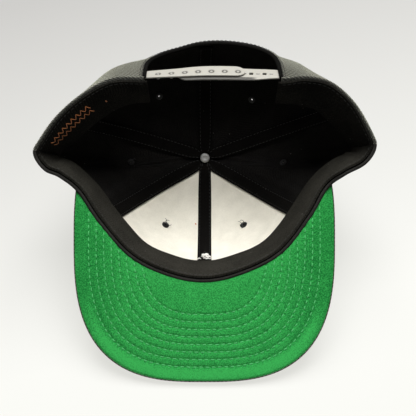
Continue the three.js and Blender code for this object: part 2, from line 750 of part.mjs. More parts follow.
/** One strap end between two distances, rounded at one of them, where its columns crowd. */
function strapBody(from, to, roundAt, depthAt) {
  const face = (layer) => grid(STRAP_COLUMNS, 2, (along, up) => {
    const eased = roundAt === 'start' ? along ** STRAP_CROWDING : 1 - (1 - along) ** STRAP_CROWDING;
    const distance = from + (to - from) * eased;
    const toEnd = roundAt === 'start' ? distance - from : to - distance;
    const inRound = Math.max(0, 1 - toEnd / STRAP_MIDDLE);
    const reach = Math.max(STRAP_TIP, STRAP_MIDDLE * Math.sqrt(1 - inRound ** 2));
    return strapPoint(distance, STRAP_MIDDLE + (2 * up - 1) * reach, depthAt(distance) + layer);
  });
  return shell(face(0), face(STRAP));
}

const pegDistance = (number) => FIRST_PEG + PEG_PITCH * number;
const PEG_NUMBERS = Array.from({ length: PEG_COUNT }, (_, number) => number);
const OUTER_STRAP_DEPTH = CLOTH + STRAP_GAP;
const INNER_STRAP_DEPTH = OUTER_STRAP_DEPTH + STRAP + GAP;

/** A tool or peg standing square to the strap at a distance along it. */
function onStrap(geometry, distance, depth) {
  const place = strapPlace(distance);
  const outward = normalOf(crownBase, place, heightAt(place, STRAP_RISE + STRAP_MIDDLE));
  return placed(geometry, strapPoint(distance, STRAP_MIDDLE, depth), outward);
}

const pegStrapEnd = pegDistance(PEG_COUNT - 1) + STRAP_END;
const pegs = PEG_NUMBERS.map((number) => {
  const peg = new THREE.BoxGeometry(PEG_SIZE, PEG_SIZE, PEG_HEIGHT + STRAP / 2);
  const depth = OUTER_STRAP_DEPTH + STRAP / 2 + (PEG_HEIGHT + STRAP / 2) / 2;
  return onStrap(peg, pegDistance(number), depth);
});
const dimples = PEG_NUMBERS.map((number) => {
  const dimple = new THREE.CylinderGeometry(DIMPLE_RADIUS, DIMPLE_RADIUS, 2 * DIMPLE_DEPTH, 8);
  return onStrap(dimple.rotateX(Math.PI / 2), pegDistance(number), OUTER_STRAP_DEPTH);
});
const pegStrap = strapBody(-STRAP_TUCK, pegStrapEnd, 'end', () => OUTER_STRAP_DEPTH);
addPiece('strap_pegs', cut(joined(pegStrap, pegs), dimples), 'strapPlastic');

const holeStrapStart = pegDistance(FIRST_HOLE) - STRAP_END;
const holes = PEG_NUMBERS.map((number) => {
  const size = PEG_SIZE + 2 * PEG_CLEARANCE;
  const tool = new THREE.BoxGeometry(size, size, THROUGH);
  return onStrap(tool, pegDistance(number + FIRST_HOLE), INNER_STRAP_DEPTH);
});
/** The strap with the holes comes out from behind the other one toward its own tab. */
function holeStrapDepth(distance) {
  const past = THREE.MathUtils.smoothstep(distance, pegStrapEnd + GAP, STRAP_SPAN);
  return INNER_STRAP_DEPTH + (OUTER_STRAP_DEPTH - INNER_STRAP_DEPTH) * past;
}
const holeStrap = strapBody(holeStrapStart, STRAP_SPAN + STRAP_TUCK, 'start', holeStrapDepth);
addPiece('strap_holes', cut(holeStrap, holes), 'strapPlastic');

// Covered button outside, its rivet inside
const BUTTON_SEGMENTS = 20;
const topFall = Math.tan(radians(TOP_SLOPE));
const coverProfile = [
  [0, GAP], [BUTTON_RADIUS, GAP - BUTTON_RADIUS * topFall], [BUTTON_RADIUS, BUTTON_HEIGHT * 0.2],
  [BUTTON_RADIUS * 0.8, BUTTON_HEIGHT * 0.75], [BUTTON_RADIUS * 0.4, BUTTON_HEIGHT], [0, BUTTON_HEIGHT],
];
const cover = latheSolid(coverProfile, BUTTON_SEGMENTS).translate(BUTTON.x, BUTTON.y, BUTTON.z);
addPiece('button_cover', cover, 'crownCloth');
const rivetTop = -BAND_DEPTH - TOP_OPENING * topFall - GAP;
const rivetProfile = [
  [0, rivetTop - RIVET_HEIGHT], [RIVET_RADIUS * 0.55, rivetTop - RIVET_HEIGHT * 0.85],
  [RIVET_RADIUS, rivetTop - RIVET_HEIGHT * 0.3], [RIVET_RADIUS, rivetTop], [RIVET_STEM, rivetTop],
  [RIVET_STEM, -GAP], [0, -GAP],
];
const rivet = latheSolid(rivetProfile, BUTTON_SEGMENTS).translate(BUTTON.x, BUTTON.y, BUTTON.z);
addPiece('button_rivet', rivet, 'rivetMetal');

// The whole cap leans over until its brim's front edge and its crown's front both rest on the ground.
const edge = new THREE.Vector2(BRIM_LENGTH, BRIM_UNDER_CLOTH + GAP + BRIM_BOARD);
const corner = new THREE.Vector3();
let lean = 0;
for (const piece of cap.children.filter(({ name }) => !name.startsWith('brim'))) {
  const position = piece.geometry.getAttribute('position');
  for (let index = 0; index < position.count; index += 1) {
    corner.fromBufferAttribute(position, index);
    lean = Math.max(lean, Math.atan2(corner.z - edge.y, edge.x - corner.y));
  }
}
cap.rotation.x = Math.PI + lean;
cap.userData.capFrame = true;

const snapbackCap = new THREE.Group();
snapbackCap.add(cap);
snapbackCap.updateMatrixWorld(true);
const box = new THREE.Box3().setFromObject(snapbackCap, true);
const centre = box.getCenter(new THREE.Vector3());
cap.position.set(-centre.x, -centre.y, -box.min.z);
snapbackCap.updateMatrixWorld(true);

export default snapbackCap;
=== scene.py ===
"""Looks of a flat-brimmed snapback cap lying upside down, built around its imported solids.

Lengths are metres. The cap's own frame has X to the wearer's right, Y forward along the brim and Z from
the brim's green face to the top of the crown; its zero is the middle of the seam of brim and crown.
"""

import json
import logging
import math
from dataclasses import dataclass, field
from enum import Enum
from typing import Callable, Sequence

import bpy
import numpy as np
from mathutils import Matrix, Vector


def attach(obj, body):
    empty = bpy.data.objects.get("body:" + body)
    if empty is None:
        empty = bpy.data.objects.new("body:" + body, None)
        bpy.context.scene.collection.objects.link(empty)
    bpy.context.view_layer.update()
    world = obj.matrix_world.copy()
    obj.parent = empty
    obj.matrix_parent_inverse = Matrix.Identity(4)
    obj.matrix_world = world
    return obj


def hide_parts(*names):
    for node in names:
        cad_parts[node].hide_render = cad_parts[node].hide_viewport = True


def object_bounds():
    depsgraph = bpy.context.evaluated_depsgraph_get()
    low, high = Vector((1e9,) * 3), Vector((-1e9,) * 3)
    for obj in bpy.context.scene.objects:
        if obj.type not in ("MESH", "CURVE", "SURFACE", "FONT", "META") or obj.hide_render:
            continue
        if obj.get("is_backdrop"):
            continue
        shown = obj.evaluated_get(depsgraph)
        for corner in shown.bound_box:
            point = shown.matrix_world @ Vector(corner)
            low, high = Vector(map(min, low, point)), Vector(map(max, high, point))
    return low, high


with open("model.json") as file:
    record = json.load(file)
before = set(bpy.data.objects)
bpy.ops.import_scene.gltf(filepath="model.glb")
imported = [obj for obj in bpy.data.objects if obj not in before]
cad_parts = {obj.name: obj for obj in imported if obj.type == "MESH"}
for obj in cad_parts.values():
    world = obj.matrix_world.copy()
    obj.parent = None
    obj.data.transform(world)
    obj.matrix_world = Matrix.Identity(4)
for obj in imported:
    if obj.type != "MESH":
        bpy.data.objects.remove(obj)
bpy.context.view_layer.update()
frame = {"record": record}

log = logging.getLogger("snapback_cap")
Array = np.ndarray
MM = 0.001
BODY = "root"

# The rim from the front seam over the wearer's left to the rear seam and back over the right. across,
# back, up and the pulls are shares of the crown's sizes; lean, turn and tuck are degrees.
RIM_COLUMNS = ("across", "back", "up", "lean", "rim_pull", "top_pull", "turn", "tuck")
RIM_ROWS = (
    (0, 0, 0, -12, 0.67, 0.62, 0, 15),
    (-0.227, 0.034, 0, -12, 0.66, 0.6, 20, 15),
    (-0.448, 0.128, 0, -12, 0.64, 0.58, 40, 15),
    (-0.634, 0.3, 0, -10, 0.6, 0.56, 61, 14.5),
    (-0.752, 0.446, -0.01, -7, 0.54, 0.56, 71, 12.5),
    (-0.86, 0.52, -0.04, -8, 0.5, 0.56, 77, 15),
    (-0.945, 0.555, -0.065, -2, 0.5, 0.56, 83, 12),
    (-1.01, 0.635, -0.075, 6, 0.52, 0.56, 89, 5),
    (-0.97, 0.706, -0.085, 7, 0.53, 0.56, 97, 13),
    (-0.87, 0.817, -0.095, 7, 0.58, 0.58, 108, 28),
    (-0.726, 0.92, -0.1, 13, 0.7, 0.6, 122, 30),
    (-0.551, 0.997, -0.103, 26, 0.82, 0.64, 137, 26),
    (-0.354, 1.004, -0.103, 33, 0.9, 0.68, 150, 18),
    (-0.176, 1.008, -0.1, 38, 0.94, 0.7, 166, 18),
    (0.01, 1.01, -0.095, 45, 0.96, 0.7, 180, 18),
    (0.241, 1.008, -0.1, 44, 0.96, 0.7, 196, 18),
    (0.454, 0.999, -0.103, 39, 0.92, 0.68, 211, 18),
    (0.598, 1.009, -0.103, 28, 0.84, 0.64, 224, 26),
    (0.75, 0.98, -0.1, 12, 0.7, 0.6, 238, 30),
    (0.887, 0.881, -0.095, 6, 0.58, 0.58, 251, 28),
    (0.988, 0.742, -0.085, 7, 0.53, 0.56, 263, 13),
    (1.016, 0.665, -0.075, 6, 0.52, 0.56, 271, 5),
    (0.95, 0.584, -0.065, -2, 0.5, 0.56, 277, 12),
    (0.837, 0.531, -0.04, -8, 0.5, 0.56, 283, 15),
    (0.734, 0.465, -0.01, -7, 0.54, 0.56, 290, 12.5),
    (0.633, 0.32, 0, -10, 0.6, 0.56, 301, 14.5),
    (0.46, 0.142, 0, -12, 0.64, 0.58, 320, 15),
    (0.227, 0.04, 0, -12, 0.66, 0.6, 340, 15),
)
ROWS = len(RIM_ROWS)


class Slot(Enum):
    """The record's material slots."""

    CROWN = "crown_cloth"
    GREEN = "green_cloth"
    BUCKRAM = "buckram"
    BAND = "band_cloth"
    TAPE = "tape_cloth"
    THREAD = "thread"
    STRAP = "strap_plastic"
    RIVET = "rivet_metal"


class Seam(Enum):
    """Rows of the rim table where the crown's seams are."""

    FRONT = 0
    FRONT_LEFT = 3
    REAR_LEFT = 9
    REAR = 14
    REAR_RIGHT = 19
    FRONT_RIGHT = 25


TAB_LEFT = 12
TAB_RIGHT = 16
ARCH_MIDDLE = (TAB_LEFT + TAB_RIGHT) / 2
ARCH_HALF = (TAB_RIGHT - TAB_LEFT) / 2
# Places of the rim's two widest bends, where the soft cloth folds.
BENDS = (7.2, 21.0)
# Place of each panel's eyelet, and its distance from the button as a share of the crown's depth.
EYELETS = {
    "front_left": (1.63, 0.7),
    "side_left": (6.5, 0.615),
    "rear_left": (11.3, 0.615),
    "rear_right": (16.85, 0.6),
    "side_right": (21.75, 0.655),
    "front_right": (26.42, 0.7),
}


def unit(vectors: Array) -> Array:
    """Vectors scaled to length one."""
    return vectors / np.maximum(np.linalg.norm(vectors, axis=-1, keepdims=True), 1e-12)


def ease(values: Array) -> Array:
    """Smooth step of shares from 0 to 1."""
    share = np.clip(values, 0, 1)
    return share * share * (3 - 2 * share)


def bell(distance: Array, width: float) -> Array:
    """Round bump of height one and a given half width."""
    return np.exp(-((distance / width) ** 2))


def signed_power(values: Array, power: float) -> Array:
    """Powers of the values' sizes, each with its value's sign."""
    return np.sign(values) * np.abs(values) ** power


def circle(count: int) -> Array:
    """Points spread evenly over a circle of radius one."""
    angle = 2 * np.pi * np.arange(count) / count
    return np.stack([np.cos(angle), np.sin(angle)], axis=-1)


def quarter_round(share: Array) -> Array:
    """Rise of a quarter circle over shares from 0 to 1."""
    return np.sqrt(1 - (1 - share) ** 2)


def travelled(path: Array) -> Array:
    """Distance covered at each point of a path."""
    return np.pad(np.cumsum(np.linalg.norm(np.diff(path, axis=0), axis=-1)), (1, 0))


def ring_quads(number: Array) -> Array:
    """Corner numbers of the quads between neighbouring rings, each ring closed on itself."""
    following = np.roll(number, -1, axis=1)
    return np.stack([number[:-1], following[:-1], following[1:], number[1:]], axis=-1).reshape(-1, 4)


def as_faces(corners: Array) -> list[tuple[int, ...]]:
    """Faces from an array of corner numbers, one row each."""
    return [tuple(row) for row in corners.tolist()]


def edged(steps: int, edge: float) -> Array:
    """Shares from 0 to 1 in even steps, with more of them close to both ends.

    Args:
        steps: Number of even steps in the middle.
        edge: Share taken by the rounded edge at each end.

    Returns:
        The shares in rising order.
    """
    near = edge * np.array([0, 0.12, 0.4, 0.75])
    return np.concatenate([near, np.linspace(edge, 1 - edge, steps), 1 - near[::-1]])


@dataclass
class CapForm:
    """The curved surfaces of the crown in the cap's frame, and where the cap lies."""

    half_span: float = 118 * MM
    rim_depth: float = 142 * MM
    crown_depth: float = 107 * MM
    button_back: float = 93.7 * MM
    top_slope: float = math.radians(14)
    panel_swell: float = 1.2 * MM
    cloth: float = 1.2 * MM
    gap: float = 0.3 * MM
    buckram: float = 1.0 * MM
    tape: float = 1.0 * MM
    lining_gap: float = 0.45 * MM
    lining_start: float = 10 * MM
    top_opening: float = 3.6 * MM
    hem_width: float = 2.4 * MM
    hem_height: float = 1.4 * MM
    mount_forward: float = 35 * MM
    hole_reach: float = 7 * MM
    hole_spread: float = 0.9 * MM
    arch_height: float = 52 * MM
    wave: float = 0.45 * MM
    fold: float = 1.3 * MM
    fold_turns: float = 6.5
    fold_reach: float = 1.3
    fold_middle: float = 0.25
    fold_rise: float = 0.3
    near: float = 0.01
    measuring: int = 40
    rim: Array = field(default_factory=lambda: np.array(RIM_ROWS, float))

    def __post_init__(self) -> None:
        """Works out the layers' depths and the place of the cap from the brim's own mount."""
        self.button = np.array([0, -self.button_back, self.crown_depth])
        self.buckram_depth = self.cloth + self.gap
        self.tape_depth = self.buckram_depth + self.buckram + self.lining_gap
        self.band_depth = self.tape_depth + self.tape + self.gap
        mount = next(m for m in frame["record"]["mounts"] if m["name"] == "brim_underside")
        down = np.array(mount["axis"], float)
        across = np.array([1.0, 0, 0])
        forward = np.cross(across, down)
        self.turned = np.array([across, forward, -down])
        self.origin = np.array(mount["pos_m"], float) - forward * self.mount_forward

    def world(self, points: Array) -> Array:
        """Points of the cap's frame where they are in the scene."""
        return points @ self.turned + self.origin

    def column(self, name: str, place: Array) -> Array:
        """One column of the rim table at any places round the rim.

        Args:
            name: The column's name.
            place: Places, counted in the table's rows.

        Returns:
            The column's values, smooth between the rows.
        """
        values = self.rim[:, RIM_COLUMNS.index(name)]
        lap = 360.0 if name == "turn" else 0.0
        row = np.floor(place)
        between = place - row

        def at(step: int) -> Array:
            """The value some rows further on."""
            index = row + step
            return values[np.mod(index, ROWS).astype(int)] + lap * np.floor(index / ROWS)

        before, start, end, after = (at(step) for step in (-1, 0, 1, 2))
        slope_start, slope_end = (end - before) / 2, (after - start) / 2
        square = between**2
        cube = between**3
        return (
            (2 * cube - 3 * square + 1) * start
            + (cube - 2 * square + between) * slope_start
            + (3 * square - 2 * cube) * end
            + (cube - square) * slope_end
        )

    def rim_point(self, place: Array) -> Array:
        """Points of the rim."""
        return np.stack(
            [
                self.column("across", place) * self.half_span,
                -self.column("back", place) * self.rim_depth,
                self.column("up", place) * self.crown_depth,
            ],
            axis=-1,
        )

    def rim_outward(self, place: Array) -> Array:
        """Level directions out of the crown, square to the rim."""
        step = 2 * self.near
        along = self.rim_point(place + step) - self.rim_point(place - step)
        return unit(np.stack([along[..., 1], -along[..., 0], np.zeros_like(along[..., 0])], axis=-1))

    def base(self, place: Array, height: Array) -> Array:
        """The crown's outer face from height 0 at the rim to 1 at the button, without its swell."""
        place, height = np.broadcast_arrays(np.asarray(place, float), np.asarray(height, float))
        lean = np.radians(self.column("lean", place))[..., None]
        turn = np.radians(self.column("turn", place))
        rim = self.rim_point(place)
        rim_handle = self.rim_outward(place) * np.sin(lean) + np.cos(lean) * np.array([0, 0, 1.0])
        level = math.cos(self.top_slope)
        fall = np.full_like(turn, -math.sin(self.top_slope))
        top_handle = np.stack([-np.sin(turn) * level, np.cos(turn) * level, fall], axis=-1)
        low = rim + rim_handle * (self.column("rim_pull", place) * self.crown_depth)[..., None]
        high = self.button + top_handle * (self.column("top_pull", place) * self.crown_depth)[..., None]
        share = height[..., None]
        rest = 1 - share
        return rest**3 * rim + 3 * rest**2 * share * low + 3 * rest * share**2 * high + share**3 * self.button

    def normal(self, place: Array, height: Array) -> Array:
        """Outward normals of the crown."""
        step = self.near
        top = np.minimum(np.asarray(height, float) + step, 1 - step)
        around = self.base(place + step, height) - self.base(place - step, height)
        upward = self.base(place, top) - self.base(place, top - 2 * step)
        return unit(np.cross(around, upward))

    def swell(self, place: Array, height: Array) -> Array:
        """How far the panels swell out between their seams, with the soft waves of the cloth."""
        seams = np.array([seam.value for seam in Seam] + [ROWS])
        wrapped = np.mod(place, ROWS)
        index = np.clip(np.searchsorted(seams, wrapped, side="right"), 1, len(seams) - 1)
        share = (wrapped - seams[index - 1]) / (seams[index] - seams[index - 1])
        arch = np.sin(np.pi * share) * np.sin(np.pi * np.clip(height, 0, 1))
        return arch * (self.panel_swell + self.waves(wrapped, height))

    def waves(self, place: Array, height: Array) -> Array:
        """Shallow waves of the unstiffened side and rear cloth."""
        soft = ease((np.minimum(np.abs(place), np.abs(ROWS - place)) - Seam.FRONT_LEFT.value) / 2)
        slow = np.sin(1.9 * place + 5.2 * height) + 0.6 * np.sin(3.1 * place - 7.3 * height + 1.0)
        folds = 0.0
        for bend, lean in zip(BENDS, (2.0, -2.0)):
            turn = self.fold_turns * (place - bend) + lean * height
            folds = folds + bell(place - bend, self.fold_reach) * np.sin(turn)
        return soft * (slow * self.wave + folds * self.fold * bell(height - self.fold_middle, self.fold_rise))

    def skin(self, place: Array, height: Array, depth: Array | float = 0.0) -> Array:
        """The crown's surface at a depth inside its outer face."""
        place, height, depth = np.broadcast_arrays(place, height, depth)
        out = (self.swell(place, height) - depth)[..., None]
        return self.base(place, height) + self.normal(place, height) * out

    def lengths(self, place: Array) -> tuple[Array, Array]:
        """Heights and the lengths up the crown that they reach, for a flat list of places."""
        heights = np.linspace(0, 1, self.measuring + 1)
        points = self.base(place[:, None], heights[None, :])
        steps = np.linalg.norm(np.diff(points, axis=1), axis=-1)
        return heights, np.concatenate([np.zeros((len(place), 1)), np.cumsum(steps, axis=1)], axis=1)

    def full_length(self, place: Array) -> Array:
        """Length from the rim to the button."""
        place = np.asarray(place, float)
        return self.lengths(place.ravel())[1][:, -1].reshape(place.shape)

    def height_at(self, place: Array, length: Array) -> Array:
        """Height that lies a given length above the rim."""
        place, length = np.broadcast_arrays(np.asarray(place, float), np.asarray(length, float))
        heights, reached = self.lengths(place.ravel())
        wanted = length.ravel()
        above = np.clip((reached < wanted[:, None]).sum(axis=1), 1, self.measuring)
        rows = np.arange(len(wanted))
        low, high = reached[rows, above - 1], reached[rows, above]
        share = np.clip((wanted - low) / (high - low), 0, 1)
        return (heights[above - 1] + share / self.measuring).reshape(place.shape)

    def shifted(self, place: Array, height: Array, distance: Array | float) -> Array:
        """Places a distance round the crown from other places, at one height."""
        return place + distance / self.stretch(place, height)

    def stretch(self, place: Array, height: Array) -> Array:
        """Metres round the crown that one place takes up."""
        step = 2 * self.near
        reach = np.linalg.norm(self.base(place + step, height) - self.base(place - step, height), axis=-1)
        return reach / (2 * step)

    def stepped(self, place: Array, height: Array, offset: Array) -> tuple[Array, Array]:
        """Places and heights after short moves along the surface.

        Args:
            place: Places to start from.
            height: Their heights.
            offset: The moves as vectors.

        Returns:
            The new places and heights.
        """
        step = self.near
        around = (self.base(place + step, height) - self.base(place - step, height)) / (2 * step)
        upward = (self.base(place, height + step) - self.base(place, height - step)) / (2 * step)
        pairs = ((around, around), (upward, upward), (around, upward), (around, offset), (upward, offset))
        aa, uu, au, a, u = ((one * two).sum(axis=-1) for one, two in pairs)
        area = aa * uu - au**2
        return place + (a * uu - u * au) / area, height + (u * aa - a * au) / area

    def eyelet_at(self, panel: str) -> tuple[float, float]:
        """Place and height of a panel's eyelet."""
        place, share = EYELETS[panel]
        at = np.array([place])
        return place, float(self.height_at(at, self.full_length(at) - share * self.crown_depth)[0])

    def pierced(self, panel: str, places: Array, heights: Array) -> tuple[Array, Array, Array]:
        """A grid drawn aside round a panel's eyelet.

        Args:
            panel: The panel's key.
            places: Places of the grid.
            heights: Heights of the grid.

        Returns:
            The new places and heights, and which cells are outside the hole.
        """
        points = self.base(places, heights)
        centre = self.base(*self.eyelet_at(panel))
        middles = (points[:-1, :-1] + points[:-1, 1:] + points[1:, :-1] + points[1:, 1:]) / 4
        away = np.linalg.norm(middles - centre, axis=-1)
        cell = np.unravel_index(np.argmin(away), away.shape)
        offset = points - middles[cell]
        reach = np.linalg.norm(offset, axis=-1, keepdims=True)
        share = np.clip(1 - reach / self.hole_reach, 0, 1)
        moves = share * (centre - middles[cell] + self.hole_spread * offset / reach)
        keep = np.ones(away.shape, bool)
        keep[cell] = False
        return *self.stepped(places, heights, moves), keep

    def top_height(self, place: Array) -> Array:
        """Height where the cloth ends beside the button."""
        return self.height_at(place, self.full_length(place) - self.top_opening)


@dataclass
class Shape:
    """Points and faces of one mesh in the cap's frame, with each point's place on its cloth."""

    points: Array
    faces: list[tuple[int, ...]]
    weave: Array

    @staticmethod
    def joined(shapes: Sequence["Shape"]) -> "Shape":
        """Several shapes as one."""
        faces: list[tuple[int, ...]] = []
        start = 0
        for shape in shapes:
            faces += [tuple(corner + start for corner in face) for face in shape.faces]
            start += len(shape.points)
        points = np.concatenate([shape.points for shape in shapes])
        return Shape(points, faces, np.concatenate([shape.weave for shape in shapes]))


def cloth_lengths(points: Array) -> Array:
    """Distances across and along a grid of points, measured on it."""
    across = np.linalg.norm(np.diff(points, axis=1), axis=-1)
    along = np.linalg.norm(np.diff(points, axis=0), axis=-1)
    u = np.pad(np.cumsum(across, axis=1), ((0, 0), (1, 0)))
    v = np.pad(np.cumsum(along, axis=0), ((1, 0), (0, 0)))
    middle = u[:, u.shape[1] // 2]
    return np.stack([u - middle[:, None], v], axis=-1)


def shell(outer: Array, inner: Array, keep: Array | None = None, marks: Array | None = None) -> Shape:
    """Closed sheet of cloth between two grids of points.

    Args:
        outer: Grid of points of one face, rows by columns.
        inner: The other face's grid.
        keep: Which cells of the grid there are, or None for all.
        marks: Third weave number of the grid, which places painted light and shade, or None for 0 outside and
            1 inside.

    Returns:
        The closed shape.
    """
    rows, columns = outer.shape[:2]
    keep = np.ones((rows - 1, columns - 1), bool) if keep is None else keep
    number = np.arange(rows * columns).reshape(rows, columns)
    back = rows * columns
    corners = (number[:-1, :-1], number[:-1, 1:], number[1:, 1:], number[1:, :-1])
    front = np.stack([corner[keep] for corner in corners], axis=-1)
    quads = [front, front[:, ::-1] + back]
    padded = np.pad(keep, 1)
    edges = (
        (padded[1:-1, 1:-1] & ~padded[:-2, 1:-1], 0, 1),
        (padded[1:-1, 1:-1] & ~padded[1:-1, 2:], 1, 2),
        (padded[1:-1, 1:-1] & ~padded[2:, 1:-1], 2, 3),
        (padded[1:-1, 1:-1] & ~padded[1:-1, :-2], 3, 0),
    )
    for mask, start, end in edges:
        a, b = corners[start][mask], corners[end][mask]
        quads.append(np.stack([a, a + back, b + back, b], axis=-1))
    faces = np.concatenate(quads)
    uv = cloth_lengths(outer).reshape(-1, 2)
    third = (np.zeros(back), np.ones(back)) if marks is None else (marks.ravel(), marks.ravel())
    weave = np.concatenate([np.c_[uv, third[0]], np.c_[uv, third[1]]])
    points = np.concatenate([outer.reshape(-1, 3), inner.reshape(-1, 3)])
    used = np.unique(faces)
    renumbered = np.zeros(len(points), int)
    renumbered[used] = np.arange(len(used))
    return Shape(points[used], as_faces(renumbered[faces]), weave[used])


def swept(loops: Array, closed: bool = False) -> Shape:
    """Body swept through loops of points, with ends unless it closes on itself.

    Args:
        loops: Points, loops by sides by three.
        closed: Whether the last loop joins the first one.

    Returns:
        The closed shape.
    """
    count, sides = loops.shape[:2]
    number = np.arange(count * sides).reshape(count, sides)
    faces = as_faces(ring_quads(np.concatenate([number, number[:1]]) if closed else number))
    if not closed:
        faces += as_faces(number[:1, ::-1]) + as_faces(number[-1:])
    along = travelled(loops[:, 0])
    around = travelled(loops[0])
    weave = np.stack(np.broadcast_arrays(along[:, None], around[None, :], 0.0), axis=-1)
    return Shape(loops.reshape(-1, 3), faces, weave.reshape(-1, 3))


def ring(sides: int, squareness: float = 1.0) -> Array:
    """Corners of a round or softly square loop of half width one."""
    angle = 2 * np.pi * (np.arange(sides) + 0.5) / sides
    pair = np.stack([np.cos(angle), np.sin(angle)], axis=-1)
    return signed_power(pair, squareness)


def tube(path: Array, radius: Array | float, sides: int = 6) -> Shape:
    """Round body of a given radius along a path."""
    along = unit(np.gradient(path, axis=0))
    side = unit(np.cross(along, np.array([0.31, 0.22, 0.92])))
    up = np.cross(along, side)
    wide = np.broadcast_to(radius, len(path))[:, None, None]
    corners = ring(sides)
    loops = side[:, None] * corners[None, :, :1] + up[:, None] * corners[None, :, 1:]
    return swept(path[:, None] + wide * loops)


@dataclass(frozen=True)
class StitchRow:
    """A row of sewn stitches: each lies on the cloth and dives into it at both ends."""

    length: float = 2.7 * MM
    space: float = 0.9 * MM
    width: float = 0.55 * MM
    lift: float = 0.12 * MM
    dive: float = 0.35 * MM
    sides: int = 6

    def shape(self, path: Array, normals: Array, seed: int = 1) -> Shape:
        """Stitches along a path.

        Args:
            path: Points on the cloth.
            normals: Directions out of the cloth at these points.
            seed: Start of the small differences between the stitches.

        Returns:
            All the stitches as one shape.
        """
        chance = np.random.default_rng(seed)
        reached = travelled(path)
        pitch = self.length + self.space
        count = max(1, int(reached[-1] / pitch))
        middles = (np.arange(count) + 0.5) * reached[-1] / count
        share = np.array([-1, -0.78, 0, 0.78, 1])
        swell = np.array([0.35, 0.85, 1, 0.85, 0.35])
        rise = np.array([-1, 0.35, 1, 0.35, -1])
        long = self.length * (1 + chance.uniform(-0.08, 0.08, count))
        at = middles[:, None] + share * long[:, None] / 2
        centre = np.stack([np.interp(at, reached, path[:, axis]) for axis in range(3)], axis=-1)
        up = unit(np.stack([np.interp(at, reached, normals[:, axis]) for axis in range(3)], axis=-1))
        along = unit(centre[:, -1] - centre[:, 0])[:, None]
        side = unit(np.cross(along, up))
        skew = chance.uniform(-0.5, 0.5, count)[:, None, None] * self.width * 0.4
        centre = centre + side * skew * share[None, :, None]
        raised = np.where(rise > 0, rise * self.lift, rise * self.dive)
        centre = centre + up * raised[None, :, None]
        corners = ring(self.sides)
        wide = (self.width / 2 * swell)[None, :, None, None]
        points = centre[:, :, None] + wide * (
            side[:, :, None] * corners[None, None, :, :1] + up[:, :, None] * corners[None, None, :, 1:] * 0.7
        )
        rings = len(share)
        number = np.arange(rings * self.sides).reshape(rings, self.sides)
        step = rings * self.sides
        all_quads = (ring_quads(number)[None] + np.arange(count)[:, None, None] * step).reshape(-1, 4)
        faces = as_faces(all_quads)
        for cap in (number[0, ::-1], number[-1]):
            faces += as_faces(cap[None] + np.arange(count)[:, None] * step)
        spread = np.broadcast_to(at[:, :, None], points.shape[:3])
        weave = np.stack([spread, np.zeros_like(spread), np.zeros_like(spread)], axis=-1)
        return Shape(points.reshape(-1, 3), faces, weave.reshape(-1, 3))


class Nodes:
    """A short way to build a node tree."""

    def __init__(self, tree: bpy.types.NodeTree) -> None:
        """Keeps the tree that nodes are added to."""
        self.tree = tree

    def add(
        self, kind: str, values: dict[str | int, object] | None = None, **settings: object
    ) -> bpy.types.Node:
        """Adds a node.

        Args:
            kind: The node's type without its ShaderNode prefix.
            values: Socket names or numbers, with the values or sockets that feed them.
            settings: The node's own settings.

        Returns:
            The node.
        """
        node = self.tree.nodes.new(f"ShaderNode{kind}")
        for name, value in settings.items():
            setattr(node, name, value)
        self.feed(node, values or {})
        return node

    def feed(self, node: bpy.types.Node, values: dict[str | int, object]) -> None:
        """Gives a node's inputs their values or the sockets that feed them."""
        for name, value in values.items():
            if isinstance(value, bpy.types.NodeSocket):
                self.link(value, node.inputs[name])
            else:
                node.inputs[name].default_value = value

    def link(self, source: bpy.types.NodeSocket, target: bpy.types.NodeSocket) -> None:
        """Links an output to an input."""
        self.tree.links.new(source, target)

    def maths(
        self, operation: str, first: object, second: object = 0.0, third: object = 0.0
    ) -> bpy.types.NodeSocket:
        """A Math node's output."""
        return self.add("Math", {0: first, 1: second, 2: third}, operation=operation).outputs[0]

    def arc(self, value: object) -> bpy.types.NodeSocket:
        """Round arches from 0 to 1 and back, one for each whole number that a value passes."""
        return self.maths("ABSOLUTE", self.maths("SINE", self.maths("MULTIPLY", value, math.pi)))

    def blend(self, share: object, low: object, high: object) -> bpy.types.NodeSocket:
        """A colour between two others, each three numbers or a socket."""
        ends = [opaque(end) if isinstance(end, tuple) else end for end in (low, high)]
        return self.add("Mix", {0: share, 6: ends[0], 7: ends[1]}, data_type="RGBA").outputs[2]

    def bump(self, strength: float, distance: float, height: object, **under: object) -> bpy.types.NodeSocket:
        """Directions of a surface raised by a height."""
        values = {"Strength": strength, "Distance": distance, "Height": height, **under}
        return self.add("Bump", values).outputs[0]

    def cloth(self) -> bpy.types.NodeSocket:
        """Place on the cloth across and along, and its third number."""
        return self.add("Attribute", attribute_name="cloth", attribute_type="GEOMETRY").outputs["Vector"]

    def solid(self) -> bpy.types.NodeSocket:
        """Place in the object's own space."""
        return self.add("TexCoord").outputs["Object"]

    def group(self, tree: bpy.types.NodeTree, values: dict[str, object]) -> bpy.types.Node:
        """Places a node group with its own values."""
        node = self.tree.nodes.new("ShaderNodeGroup")
        node.node_tree = tree
        self.feed(node, values)
        return node


def new_group(
    name: str, inputs: dict[str, float | None], outputs: Sequence[str]
) -> tuple[Nodes, bpy.types.Node, bpy.types.Node]:
    """Starts a shader node group.

    Args:
        name: The group's name.
        inputs: Input names with their values; None makes a vector input.
        outputs: Names of its outputs, all plain values.

    Returns:
        The builder, the node with the inputs and the node with the outputs.
    """
    tree = bpy.data.node_groups.new(name, "ShaderNodeTree")
    for label, value in inputs.items():
        kind = "NodeSocketVector" if value is None else "NodeSocketFloat"
        socket = tree.interface.new_socket(name=label, in_out="INPUT", socket_type=kind)
        if value is not None:
            socket.default_value = value
    for label in outputs:
        tree.interface.new_socket(name=label, in_out="OUTPUT", socket_type="NodeSocketFloat")
    return Nodes(tree), tree.nodes.new("NodeGroupInput"), tree.nodes.new("NodeGroupOutput")


